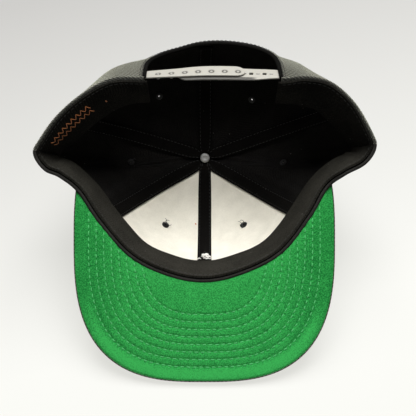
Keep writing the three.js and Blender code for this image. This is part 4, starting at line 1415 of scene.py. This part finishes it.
@dataclass
class Sweatband(Part):
    """The dark band stitched along the rim and folded up inside the crown."""

    height: float = 28 * MM
    thickness: float = 1.4 * MM
    past_tab: float = 0.1
    stitch_up: float = 1.9 * MM
    fold_height: float = 1.9 * MM
    # Where the painted shade on the band's rear begins and how far it takes to grow.
    rear_shade_start: float = 5.5
    rear_shade_run: float = 1.7
    motif_start: float = 8.1
    motif_end: float = 10.05
    motif_rows: tuple[tuple[float, float], ...] = ((0.26, 0.39), (0.44, 0.57))
    loose_up: float = 92 * MM
    loose_aside: float = 7.5 * MM
    motif_pitch: float = 4.4 * MM
    motif_thread: float = 0.5 * MM

    def ripple(self, place: Array, up: Array) -> Array:
        """Soft puckers of the free edge and deeper folds at the two wide bends."""
        slow = np.sin(2.3 * place + 0.7) + 0.5 * np.sin(5.1 * place + 2.0 * up)
        fold = 0.0
        for bend, lean in zip(BENDS, (2.2, -2.2)):
            fold = fold + bell(place - bend, 1.1) * (1 + np.sin(9 * (place - bend) + lean * up))
        return up**1.5 * (0.35 * slow + 0.55 + self.fold_height * fold / MM) * MM

    def point(self, place: Array, up: Array, layer: Array | float) -> Array:
        """Point of the band: place on the rim, share of its height and depth in the cloth."""
        place, up = np.broadcast_arrays(np.asarray(place, float), np.asarray(up, float))
        tuck = np.radians(self.form.column("tuck", place))
        start = self.form.hem_width + self.form.gap
        lift = np.minimum(1, up * self.height / self.form.lining_start)
        depth = start + (self.form.band_depth - start) * lift + layer + self.ripple(np.mod(place, ROWS), up)
        inward = -self.form.rim_outward(place)
        level = (depth * np.cos(tuck) + up * self.height * np.sin(tuck))[..., None]
        rise = (up * self.height * np.cos(tuck) - depth * np.sin(tuck))[..., None]
        return self.form.rim_point(place) + inward * level + np.array([0, 0, 1.0]) * rise

    def face_normal(self, place: Array, up: Array) -> Array:
        """Directions out of the band's visible face."""
        step = 2 * self.form.near
        around = self.point(place + step, up, self.thickness) - self.point(place - step, up, self.thickness)
        rise = self.point(place, up + step, self.thickness) - self.point(place, up - step, self.thickness)
        return unit(np.cross(rise, around))

    def band(self) -> None:
        """The band itself, its free edge softly rounded and its rear darkened by painted shade."""
        start, end = TAB_RIGHT - ROWS - self.past_tab, TAB_LEFT + self.past_tab
        place = np.linspace(start, end, 520)[None]
        up = edged(22, 0.05)[:, None]
        edge = np.clip((1 - up) / 0.045, 0, 1)
        half = self.thickness / 2 * quarter_round(edge) + 0.05 * MM
        groove = 0.28 * MM * bell(up * self.height - self.stitch_up, 0.6 * MM)
        outer = self.point(place, up, self.thickness / 2 - half)
        inner = self.point(place, up, self.thickness / 2 + half - groove)
        # Painted shade: the third weave number darkens the band toward its rear.
        rear = ease((np.abs(place) - self.rear_shade_start) / self.rear_shade_run) + np.zeros_like(up)
        self.maker.piece("sweatband_cloth", shell(outer, inner, None, rear), "band", Slot.BAND, ["sweatband"])

    def stitches(self) -> None:
        """The row that sews the band to the rim."""
        place = np.linspace(TAB_RIGHT - ROWS, TAB_LEFT, 900)
        up = np.full_like(place, self.stitch_up / self.height)
        path = self.point(place, up, self.thickness - 0.1 * MM)
        shape = StitchRow(length=2.6 * MM, width=0.5 * MM).shape(path, self.face_normal(place, up), seed=70)
        self.maker.piece("sweatband_stitches", shape, "black_thread", Slot.THREAD)

    def motif(self) -> None:
        """Plain zigzag sewn in orange on the left rear of the band."""
        place = np.linspace(self.motif_start, self.motif_end, 400)
        threads = []
        for low, high in self.motif_rows:
            path = self.point(place, (low + high) / 2, self.thickness)
            reached = travelled(path)
            knots = np.arange(0, reached[-1], self.motif_pitch / 2)
            ups = np.where(np.arange(len(knots)) % 2 == 0, low, high)
            for number in range(len(knots) - 1):
                share = np.linspace(0, 1, 7)
                along = np.interp(knots[number] + (knots[number + 1] - knots[number]) * share, reached, place)
                up = ups[number] + (ups[number + 1] - ups[number]) * share
                arch = 0.3 * MM * np.sin(np.pi * share) - 0.05 * MM
                threads.append(tube(self.point(along, up, self.thickness + arch), self.motif_thread / 2, 6))
        self.maker.piece("band_zigzag", Shape.joined(threads), "orange_thread", Slot.BAND)

    def loose_ends(self) -> None:
        """Two snipped orange thread ends: one on the band and one on the left buckram."""
        share = np.linspace(-0.5, 0.5, 7)
        bend = 0.3 * MM * np.cos(np.pi * share)
        on_band = self.point(10.55 + 0.02 * share, 0.5 + 0.05 * share, self.thickness + bend)
        height = self.form.height_at(np.zeros(7), self.loose_up + 1.2 * MM * share)
        place = self.form.shifted(np.zeros(7), height, self.loose_aside + 0.6 * MM * share)
        on_panel = self.form.skin(place, height, self.form.buckram_depth + self.form.buckram + bend)
        ends = Shape.joined([tube(path, 0.42 * MM, 6) for path in (on_band, on_panel)])
        self.maker.piece("loose_orange_ends", ends, "orange_thread", Slot.THREAD)

    def build(self) -> None:
        """Makes the band with its sewing."""
        self.band()
        self.stitches()
        self.motif()
        self.loose_ends()


# The board's cloth where it rolls round the edge: inset and height above the green face, millimetres.
BRIM_ROLL = (
    (3.0, 1.4), (0.95, 0.75), (0.78, 0.25), (0.58, 0.05), (0.3, 0.12), (0.08, 0.55), (0.0, 1.2), (0.0, 2.2),
    (0.1, 3.1), (0.4, 3.75), (0.95, 4.1), (1.6, 4.2),
)


@dataclass
class Brim(Part):
    """The flat board in black cloth, with green cloth and eight rows of stitches under it."""

    half_width: float = 92.4 * MM
    length: float = 71 * MM
    centre_back: float = 30 * MM
    roundness: float = 2.87
    board: float = 2.8 * MM
    rim_gap: float = 0.5 * MM
    under_cloth: float = 1.1 * MM
    under_inset: float = 0.75 * MM
    stitch_rows: int = 8
    first_row: float = 10.7 * MM
    row_pitch: float = 5.3 * MM
    groove_width: float = 0.95 * MM
    groove_depth: float = 0.24 * MM
    hole_depth: float = 0.26 * MM
    side_shade: float = 0.45
    side_start: float = 50 * MM
    side_run: float = 32 * MM
    sheen_inset: float = 6.5 * MM
    sheen_start: float = 8 * MM
    sheen_run: float = 35 * MM
    stitch: StitchRow = StitchRow(length=2.7 * MM, space=1.7 * MM, width=0.7 * MM, lift=0.16 * MM)

    def __post_init__(self) -> None:
        """Finds the rim's line and the angles of the brim's two corners."""
        super().__post_init__()
        place = np.linspace(-9, 9, 1500)
        rim = self.form.rim_point(place) + self.form.rim_outward(place) * self.rim_gap
        self.rim_line = rim[:, :2]
        outside = self.measure(self.rim_line) >= 1
        right = np.nonzero(outside & (place < 0))[0].max()
        left = np.nonzero(outside & (place > 0))[0].min()
        self.start = self.angle_of(self.rim_line[right])
        self.end = self.angle_of(self.rim_line[left])

    def measure(self, points: Array) -> Array:
        """Below 1 inside the brim's outline."""
        across = np.abs(points[..., 0] / self.half_width) ** self.roundness
        forward = np.abs((points[..., 1] + self.centre_back) / (self.length + self.centre_back))
        return across + forward**self.roundness

    def angle_of(self, point: Array) -> float:
        """Angle of the outline's own curve at a point."""
        across = point[0] / self.half_width
        along = (point[1] + self.centre_back) / (self.length + self.centre_back)
        angle = math.atan2(*(signed_power(share, self.roundness / 2) for share in (along, across)))
        return angle + 2 * math.pi if angle < -math.pi / 2 else angle

    def at(self, angle: Array, inset: Array | float) -> Array:
        """Points of the brim's plane at an inset from its outline."""
        angle, inset = np.broadcast_arrays(angle, inset)
        across, along = (signed_power(side, 2 / self.roundness) for side in (np.cos(angle), np.sin(angle)))
        return np.stack(
            [
                (self.half_width - inset) * across,
                -self.centre_back + (self.length + self.centre_back - inset) * along,
                np.zeros_like(across),
            ],
            axis=-1,
        )

    def depth_of(self, angle: Array) -> Array:
        """Inset at which the crown's rim is met, for each angle."""
        insets = np.linspace(0, self.half_width * 0.98, 700)
        line = self.rim_line
        found = np.zeros(len(angle))
        for number, value in enumerate(angle):
            points = self.at(np.full(len(insets), value), insets)[:, :2]
            front = np.interp(points[:, 0], line[::-1, 0], line[::-1, 1])
            met = np.nonzero(points[:, 1] <= front)[0]
            found[number] = insets[met[0]] if len(met) else insets[-1]
        return found

    def groove(self, inset: Array) -> Array:
        """How far the cloth is drawn in along the rows of stitches."""
        dip = np.zeros_like(inset)
        for row in range(self.stitch_rows):
            dip = dip + bell(inset - self.first_row - row * self.row_pitch, self.groove_width)
        return dip * self.groove_depth

    def needle_holes(self, angle: Array, inset: Array) -> Array:
        """Extra hollows where the thread dives into the green cloth."""
        dip = np.zeros_like(inset)
        for row in range(self.stitch_rows):
            middle = self.first_row + row * self.row_pitch
            line = self.at(angle, middle)
            reached = travelled(line)
            wave = 0.5 + 0.5 * np.cos(2 * np.pi * reached / (self.stitch.length + self.stitch.space))
            dip = dip + wave[:, None] ** 2 * bell(inset - middle, self.groove_width)
        return dip * self.hole_depth

    def under(self, angle: Array, depth: Array) -> None:
        """The green cloth, with a painted sheen along its margin and painted shade toward its sides."""
        deep = np.maximum(depth - self.under_inset, 0)[:, None]
        inset = self.under_inset + deep * edged(140, 0.012)[None]
        back = self.under_inset + deep * np.array([0.9, 0.5, 0.1])[None]
        around = np.concatenate([inset[:, ::-1], inset[:, :1], back[:, ::-1], inset[:, -1:]], axis=1)
        points = self.at(np.broadcast_to(angle[:, None], around.shape), around)
        points[..., 2] = self.under_cloth
        face = inset.shape[1]
        edge = 0.45 * MM * bell(inset - self.under_inset, 0.8 * MM)
        relief = self.groove(inset) + self.needle_holes(angle, inset) + edge
        points[:, :face, 2] = relief[:, ::-1]
        shape = swept(points)
        # Painted light in the third weave number: a painted sheen along the margin that grows toward the
        # front, lighter near the crown's seam, and painted shade toward the sides.
        smooth = np.zeros(around.shape)
        painted_sheen = ease((self.first_row - 0.5 * MM - inset) / (2.5 * MM))
        painted_sheen = painted_sheen * (0.5 + 0.5 * bell(inset - self.sheen_inset, self.sheen_inset / 2))
        painted_sheen = painted_sheen * ease((points[:, face - 1 : face, 1] - self.sheen_start) / self.sheen_run)
        inner = bell(inset - depth[:, None], 7 * MM) * 0.3
        beside = np.abs(points[:, :face, 0][:, ::-1]) - self.side_start
        sides = self.side_shade * ease(beside / self.side_run)
        smooth[:, :face] = (painted_sheen + inner - sides)[:, ::-1]
        shape.weave = np.stack([points[..., 0], points[..., 1], smooth], axis=-1).reshape(-1, 3)
        self.maker.piece("brim_green_cloth", shape, "green", Slot.GREEN, ["brim_under"])

    def top(self, angle: Array, depth: Array) -> None:
        """The board in black cloth, which rolls round the brim's edge up to the green."""
        rolled, rises = (np.array(BRIM_ROLL) * MM).T
        inner = np.linspace(0, 1, 46)[1:]
        insets = np.minimum(np.broadcast_to(rolled, (len(angle), len(rolled))), depth[:, None])
        last = insets[:, -1:]
        flat = last + (np.maximum(depth[:, None], last) - last) * inner[None]
        around = np.concatenate([insets, flat, flat[:, -1:]], axis=1)
        height = np.concatenate([rises, np.full(len(inner), rises[-1]), rises[:1]])
        dips = np.zeros_like(around)
        dips[:, len(rolled) : -1] = self.groove(around[:, len(rolled) : -1])
        points = self.at(np.broadcast_to(angle[:, None], around.shape), around)
        points[..., 2] = height[None] - dips * 0.7
        self.maker.piece("brim_top_cloth", swept(points[::-1]), "wool", Slot.CROWN, ["brim_top"], sharp=60)

    def stitches(self, angle: Array, depth: Array) -> None:
        """The rows of stitches on both faces."""
        under, over = [], []
        full = self.under_cloth + self.form.gap + self.board
        for number in range(self.stitch_rows):
            inset = self.first_row + number * self.row_pitch
            there = angle[depth > inset + 0.8 * MM]
            path = self.at(there, inset)
            down = np.broadcast_to(np.array([0, 0, -1.0]), path.shape)
            path[:, 2] = self.groove_depth
            under.append(self.stitch.shape(path, down, seed=100 + number))
            raised = path.copy()
            raised[:, 2] = full - 0.2 * MM
            over.append(self.stitch.shape(raised, -down, seed=120 + number))
        self.maker.piece("brim_under_stitches", Shape.joined(under), "green_thread", Slot.GREEN)
        self.maker.piece("brim_top_stitches", Shape.joined(over), "black_thread", Slot.THREAD)

    def build(self) -> None:
        """Makes the brim."""
        angle = np.linspace(self.start, self.end, 420)
        depth = self.depth_of(angle)
        self.under(angle, depth)
        self.top(angle, depth)
        fine = np.linspace(self.start, self.end, 1200)
        self.stitches(fine, self.depth_of(fine))


@dataclass
class Strap(Part):
    """The two plastic ends of the rear strap, one with pegs and the other with holes."""

    thickness: float = 1.2 * MM
    height: float = 13.6 * MM
    from_cloth: float = 0.6 * MM
    tuck: float = 11 * MM
    end: float = 5 * MM
    pegs: int = 7
    pitch: float = 9.4 * MM
    first_peg: float = 9.3 * MM
    first_hole: int = 2
    peg_size: float = 2.1 * MM
    clearance: float = 0.35 * MM
    dimple: float = 1.5 * MM
    mark_depth: float = 0.7 * MM
    mark_width: float = 0.55 * MM
    peg_sunk: float = 0.9 * MM
    column_step: float = 0.36 * MM
    edge_round: float = 0.5 * MM
    low_edge: float = 0.74
    hidden_edge: float = 1.12
    # Share of painted shadow on the hidden end's lip below the outer end.
    lip_shadow: float = 0.95

    def __post_init__(self) -> None:
        """Measures the strap's line round the rear of the rim."""
        super().__post_init__()
        self.hole = self.peg_size / 2 + self.clearance
        self.rise = self.form.hem_height + self.form.gap
        self.half = self.height / 2
        self.places = np.linspace(TAB_LEFT - 1, TAB_RIGHT + 1, 500)
        line = self.form.base(self.places, self.form.height_at(self.places, self.rise + self.half))
        reached = travelled(line)
        zero = np.interp(TAB_LEFT, self.places, reached)
        self.reached = reached - zero
        self.span = float(np.interp(TAB_RIGHT, self.places, self.reached))
        self.outer_depth = self.form.cloth + self.from_cloth
        self.inner_depth = self.outer_depth + self.thickness + self.form.gap
        self.peg_end = self.peg_at(self.pegs - 1) + self.end

    def peg_at(self, number: int) -> float:
        """Distance of a peg from the left tab."""
        return self.first_peg + self.pitch * number

    def point(self, distance: Array, up: Array, depth: Array) -> Array:
        """Point of the strap: distance from the left tab, height on it and depth."""
        distance, up, depth = np.broadcast_arrays(distance, up, depth)
        place = np.interp(distance, self.reached, self.places)
        height = self.form.height_at(place, self.rise + up)
        return self.form.base(place, height) - self.form.normal(place, height) * depth[..., None]

    def sheet(
        self, along: Array, to_end: Array, depth: Array, low: Array, marks: Callable, keep: Callable | None
    ) -> Shape:
        """One rounded end as a closed sheet.

        Args:
            along: Distances of its columns.
            to_end: The columns' distances from the rounded end.
            depth: Depth of its outer face at each column.
            low: How far each column reaches toward the rim, as a share of the half height.
            marks: Relief of the outer face, from distance and height.
            keep: Which cells there are, from the middles' distances and heights.

        Returns:
            The shape.
        """
        stops = 0.5 + np.array([-1, 1]) * self.hole / self.height
        rows = np.unique(np.round(np.concatenate([edged(40, 0.05), stops]), 6))
        in_round = np.clip(1 - to_end / self.half, 0, 1)
        reach = np.maximum(0.5 * MM, self.half * np.sqrt(1 - in_round**2))
        side = 2 * rows[:, None] - 1
        kept = self.hole / self.half
        beyond = np.maximum(-side - kept, 0) / (1 - kept)
        side = side - beyond * (low[None] - 1)
        # The hidden end's lip under the outer end gets a painted shadow.
        lip = ease((low[None] - 1) / 0.1) * ease((-side - self.low_edge + 0.1) / 0.1)
        up = self.half + side * reach[None]
        across = np.broadcast_to(along, up.shape)
        edge = np.minimum((0.5 - np.abs(rows - 0.5))[:, None] * 2 * reach[None], to_end[None])
        soft = quarter_round(np.clip(edge / self.edge_round, 0, 1))
        half = self.thickness / 2 * (0.25 + 0.75 * soft)
        middle = depth[None] + self.thickness / 2
        relief = marks(across, up)
        outer = self.point(across, up, middle - half + relief)
        inner = self.point(across, up, middle + half)
        cells = None
        if keep:
            centre_along = (across[:-1, :-1] + across[1:, 1:]) / 2
            centre_rows = ((rows[:-1] + rows[1:]) / 2)[:, None] * self.height
            cells = keep(centre_along, np.broadcast_to(centre_rows, centre_along.shape))
        # Painted shade in the sunk marks and painted shadow on the lip.
        painted_shade = relief / self.mark_depth + self.lip_shadow * lip
        return shell(outer, inner, cells, np.clip(painted_shade, 0, 1))

    def columns(self, start: float, end: float, stops: Sequence[float], rounded: float) -> Array:
        """Distances of columns that crowd at the rounded end and stop at the holes' edges."""
        even = np.arange(start, end, self.column_step)
        crowd = np.array([0, 0.05, 0.15, 0.3, 0.5, 0.75]) * MM
        near = rounded + crowd if abs(rounded - start) < MM else rounded - crowd
        stops = np.array(stops)
        inside = stops[(stops > start) & (stops < end)]
        if len(inside):
            even = even[np.abs(even[:, None] - inside[None]).min(axis=1) > 0.2 * MM]
        return np.unique(np.round(np.concatenate([even, near, inside, [start, end]]), 7))

    def dimples(self, along: Array, up: Array) -> Array:
        """Ring-shaped hollows in the outer face behind the pegs."""
        dip = np.zeros(np.broadcast(along, up).shape)
        for number in range(self.pegs):
            far = np.hypot(along - self.peg_at(number), up - self.half)
            dip = dip + self.mark_depth * bell(far - self.dimple, self.mark_width)
        return dip

    def hole_marks(self, along: Array, up: Array) -> Array:
        """Short bars sunk between the holes."""
        dip = np.zeros(np.broadcast(along, up).shape)
        for number in range(self.pegs + self.first_hole):
            middle = self.peg_at(number) + self.pitch / 2
            bar = ease((1.5 * MM - np.abs(along - middle)) / (0.5 * MM))
            dip = dip + self.mark_depth * bar * bell(up - self.half, self.mark_width)
        return dip

    def hole_depth(self, distance: Array) -> Array:
        """The end with holes comes out from behind the other one toward its own tab."""
        past = ease((distance - self.peg_end - self.form.gap) / (self.span - self.peg_end - self.form.gap))
        return self.inner_depth + (self.outer_depth - self.inner_depth) * past

    def peg(self, distance: float) -> Shape:
        """A rounded square peg with a wider head."""
        place = np.interp(distance, self.reached, self.places)
        height = self.form.height_at(np.array([place]), self.rise + self.half)
        inward = -self.form.normal(np.array([place]), height)[0]
        where = (np.array([value]) for value in (distance, self.half, self.outer_depth + self.peg_sunk))
        foot = self.point(*where)[0]
        profile = ((0, 1.25), (0.3, 1.0), (1.7, 0.95), (2.0, 1.2), (2.5, 1.15), (2.8, 0.9), (2.9, 0.45))
        corners = ring(16, 0.55) * self.peg_size / 2
        loops = np.zeros((len(profile), 16, 3))
        for number, (rise, wide) in enumerate(profile):
            loops[number, :, :2] = corners * wide
            loops[number, :, 2] = rise * MM
        return moved(swept(loops), foot, inward)

    def build(self) -> None:
        """Makes both ends."""
        along = self.columns(-self.tuck, self.peg_end, [], self.peg_end)
        depth, low = np.full_like(along, self.outer_depth), np.full_like(along, self.low_edge)
        body = self.sheet(along, self.peg_end - along, depth, low, self.dimples, None)
        pegs = [self.peg(self.peg_at(number)) for number in range(self.pegs)]
        self.maker.piece(
            "strap_peg_end", Shape.joined([body, *pegs]), "plastic", Slot.STRAP, ["strap_pegs"], sharp=55
        )
        holes = [self.peg_at(number + self.first_hole) for number in range(self.pegs)]
        stops = [hole + side * self.hole for hole in holes for side in (-1, 1)]
        start = self.peg_at(self.first_hole) - self.end
        along = self.columns(start, self.span + self.tuck, stops, start)

        def keep(middle: Array, up: Array) -> Array:
            """Whether a cell is outside every hole."""
            open_ = np.zeros(middle.shape, bool)
            for hole in holes:
                open_ |= (np.abs(middle - hole) < self.hole) & (np.abs(up - self.half) < self.hole)
            return ~open_

        depth = self.hole_depth(along)
        hidden = (depth - self.outer_depth) / (self.inner_depth - self.outer_depth)
        low = self.low_edge + (self.hidden_edge - self.low_edge) * hidden
        body = self.sheet(along, along - start, depth, low, self.hole_marks, keep)
        self.maker.piece("strap_hole_end", body, "plastic", Slot.STRAP, ["strap_holes"], sharp=55)


@dataclass
class Eyelets(Part):
    """Stitched eyelets, one in each panel, with a loose thread end at some."""

    hole: float = 1.0 * MM
    radius: float = 2.75 * MM
    proud: float = 0.8 * MM
    threads: int = 30
    tails: int = 3

    def collar(self, top: float, bottom: float) -> Shape:
        """Sleeve through the cloth with a soft ring at both ends, round Z."""
        width = self.radius - self.hole
        loops = []
        for end, sign in ((top, 1), (bottom, -1)):
            for share in np.linspace(0, 1, 7):
                turn = math.pi * (share if sign > 0 else 1 - share)
                radius = self.hole + width * (1 - math.cos(turn)) / 2
                loops.append((radius, end - sign * 0.55 * MM * (1 - math.sin(turn))))
        pairs = np.array(loops)
        around = circle(2 * self.threads)
        points = np.zeros((len(around), len(pairs), 3))
        points[..., :2] = around[:, None] * pairs[None, :, :1]
        points[..., 2] = pairs[None, :, 1]
        return swept(points, closed=True)

    def spokes(self, level: float, sign: float, seed: int) -> Shape:
        """Satin stitches laid from the hole outward on one face, round Z."""
        chance = np.random.default_rng(seed)
        threads = []
        for number in range(self.threads):
            angle = 2 * math.pi * (number + chance.uniform(-0.2, 0.2)) / self.threads
            share = np.linspace(0, 1, 6)
            radius = self.hole * 0.95 + (self.radius * chance.uniform(0.97, 1.12) - self.hole * 0.95) * share
            rise = level + sign * (0.28 * MM * np.sin(np.pi * share) - 0.18 * MM)
            path = np.stack([radius * math.cos(angle), radius * math.sin(angle), rise], axis=-1)
            threads.append(tube(path, 0.2 * MM, 5))
        return Shape.joined(threads)

    def tail(self, level: float, seed: int) -> Shape:
        """A loose thread end that curls out of the eyelet on the inside."""
        chance = np.random.default_rng(seed)
        turn = chance.uniform(0, 2 * math.pi)
        share = np.linspace(0, 1, 14)
        bend = turn + chance.uniform(-1.6, 1.6) * share
        radius = 1.6 * MM + chance.uniform(2.2, 4.2) * MM * share
        rise = level - (0.5 * MM + 1.3 * MM * np.sin(np.pi * share * 0.8))
        path = np.stack([radius * np.cos(bend), radius * np.sin(bend), rise], axis=-1)
        return tube(path, 0.17 * MM, 5)

    def build(self) -> None:
        """Makes the six eyelets."""
        for number, panel in enumerate(EYELETS):
            at, height = (np.array([value]) for value in self.form.eyelet_at(panel))
            front = panel.startswith("front")
            layers = self.form.buckram_depth + self.form.buckram if front else self.form.cloth
            top, bottom = self.proud, -layers - self.proud
            parts = [self.collar(top, bottom)]
            parts += [self.spokes(top, 1, 200 + number), self.spokes(bottom, -1, 220 + number)]
            if front or number == 1:
                parts += [self.tail(bottom, 240 + 10 * number + extra) for extra in range(self.tails)]
            point = self.form.skin(at, height)[0]
            normal = self.form.normal(at, height)[0]
            shape = Shape.joined([moved(part, point, normal) for part in parts])
            name = f"eyelet_{panel}"
            # The eyelets take the darker copy of the black thread: painted shade.
            self.maker.piece(f"{name}_threads", shape, "eyelet_thread_shaded", Slot.THREAD, [name])


@dataclass
class Button(Part):
    """The covered button outside and the rivet's silver head inside."""

    radius: float = 7.5 * MM
    height: float = 4.2 * MM
    rivet_radius: float = 3.9 * MM
    rivet_height: float = 1.8 * MM
    rivet_head: tuple[tuple[float, float], ...] = (
        (0.0, 0.8), (0.4, 0.82), (0.5, 0.98), (0.6, 1.0), (0.7, 0.88), (0.9, 0.8), (0.97, 0.6), (1.0, 0.3),
        (0.98, 0.0),
    )
    stem: float = 1.5 * MM
    axis: float = 0.01 * MM

    def build(self) -> None:
        """Makes the cover and the rivet."""
        form = self.maker.form
        fall = math.tan(form.top_slope)
        cover = [(1e-5, form.gap), (self.radius, form.gap - self.radius * fall)]
        for share in np.linspace(0, 1, 14):
            turn = math.pi / 2 * share
            dome = max(self.axis, self.radius * math.cos(turn) ** 0.75)
            cover.append((dome, self.height * (0.12 + 0.88 * math.sin(turn) ** 0.85)))
        up = np.array([0, 1e-9, 1.0])
        cloth = moved(lathe(cover), form.button, up)
        self.maker.piece("button_cloth", cloth, "wool", Slot.CROWN, ["button_cover"], sharp=50)
        top = -form.band_depth - form.top_opening * fall - form.gap
        profile = [
            (max(self.axis, radius * self.rivet_radius), top - rise * self.rivet_height)
            for radius, rise in self.rivet_head
        ]
        profile += [(self.stem, top), (self.stem, -form.gap), (self.axis, -form.gap)]
        head = moved(lathe(profile), form.button, up)
        self.maker.piece("button_rivet_head", head, "metal", Slot.RIVET, ["button_rivet"], sharp=50)


@dataclass
class Studio:
    """Pale floor, soft light and the camera where the photograph was taken from."""

    form: CapForm
    lens_px: float = 794.0
    image_px: float = 416.0
    camera_away: float = 560 * MM
    camera_across: float = 2.6 * MM
    camera_forward: float = -52 * MM
    sensor: float = 36.0
    floor_sweep: tuple[tuple[float, float], ...] = (
        (4.0, 0.0), (4.6, 0.08), (5.1, 0.35), (5.45, 0.9), (5.6, 1.8), (5.6, 4.0),
    )
    floor_sides: int = 96
    floor_near: float = -0.08
    floor_far: float = 0.344
    floor_slant: float = 0.28
    # Painted light: the floor's glow near the camera and far away.
    floor_front_glow: Colour = (0.71, 0.71, 0.672)
    floor_back_glow: Colour = (0.315, 0.308, 0.295)
    floor_own: Colour = (0.18, 0.18, 0.176)
    key_place: tuple[float, float, float] = (0.05, 0.62, 1.56)
    key_size: float = 1.3
    key_watts: float = 53.0
    world_light: float = 0.06

    def camera(self) -> None:
        """The camera, square to the brim's plane."""
        data = bpy.data.cameras.new("camera")
        data.sensor_width = self.sensor
        data.lens = self.lens_px / self.image_px * self.sensor
        data.clip_start, data.clip_end = 0.05, 50
        made = bpy.data.objects.new("camera", data)
        across, forward, down = self.form.turned
        spot = self.form.world(np.array([self.camera_across, self.camera_forward, -self.camera_away]))
        axes = Matrix((Vector(across), Vector(-forward), Vector(-down))).transposed()
        made.matrix_world = Matrix.Translation(Vector(spot)) @ axes.to_4x4()
        bpy.context.scene.collection.objects.link(made)
        bpy.context.scene.camera = made

    def floor(self) -> None:
        """A wide pale floor under the lowest point of the cap, swept up far away on all sides, glowing with
        painted light that is brighter toward the camera.
        """
        mesh = bpy.data.meshes.new("floor")
        around = circle(self.floor_sides)
        rings = [np.c_[wide * around, np.full(self.floor_sides, high)] for wide, high in self.floor_sweep]
        number = np.arange(len(rings) * len(around)).reshape(len(rings), -1)
        faces = as_faces(number[:1]) + as_faces(ring_quads(number)[:, ::-1])
        mesh.from_pydata(np.concatenate(rings).tolist(), [], faces)
        mesh.polygons.foreach_set("use_smooth", np.ones(len(mesh.polygons), bool))
        material, nodes, shader = new_material("pale_floor")
        # Painted light: the floor glows, brighter toward the camera and fading far away, and its weak matt
        # part keeps soft shadows.
        split = nodes.add("SeparateXYZ", {0: nodes.solid()})
        across = nodes.maths("MULTIPLY_ADD", split.outputs[0], -self.floor_slant, split.outputs[1])
        fade = nodes.add("MapRange", {0: across, 1: self.floor_near, 2: self.floor_far, 3: 0.0, 4: 1.0})
        glow = nodes.blend(fade.outputs[0], self.floor_front_glow, self.floor_back_glow)
        matt = {"Base Color": opaque(self.floor_own), "Roughness": 0.8, "Specular IOR Level": 0.1}
        nodes.feed(shader, {"Emission Color": glow, "Emission Strength": 1.0, **matt})
        mesh.materials.append(material)
        made = bpy.data.objects.new("floor", mesh)
        made.location.z = min(0.0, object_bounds()[0].z) - 0.01 * MM
        made.visible_diffuse = False
        bpy.context.scene.collection.objects.link(made)
        made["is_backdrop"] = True

    def lights(self) -> None:
        """A large square light almost straight above that looks at the cap, and weak light all round."""
        data = bpy.data.lights.new("key", "AREA")
        data.shape, data.size, data.energy = "SQUARE", self.key_size, self.key_watts
        made = bpy.data.objects.new("key", data)
        made.location = Vector(self.key_place)
        made.rotation_mode = "QUATERNION"
        made.rotation_quaternion = (-made.location).to_track_quat("-Z", "Y")
        bpy.context.scene.collection.objects.link(made)
        world = bpy.data.worlds.new("studio")
        world.use_nodes = True
        background = next(node for node in world.node_tree.nodes if node.type == "BACKGROUND")
        background.inputs["Color"].default_value = (1, 1, 1, 1)
        background.inputs["Strength"].default_value = self.world_light
        bpy.context.scene.world = world

    def build(self) -> None:
        """Makes the whole studio."""
        self.camera()
        self.floor()
        self.lights()
        bpy.context.scene.view_settings.view_transform = "Standard"


def write_sizes() -> None:
    """Brings the view layer up to date."""
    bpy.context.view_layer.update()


def main() -> None:
    """Builds the cap's parts in order, then the studio."""
    logging.basicConfig(level=logging.INFO, format="%(message)s")
    form = CapForm()
    maker = Maker(form, Wardrobe())
    for part in (Crown, Lining, Sweatband, Brim, Strap, Eyelets, Button):
        part(maker).build()
    Studio(form).build()
    log.info("all pieces: %d triangles", maker.triangles)
    write_sizes()


if __name__ == "__main__":
    main()
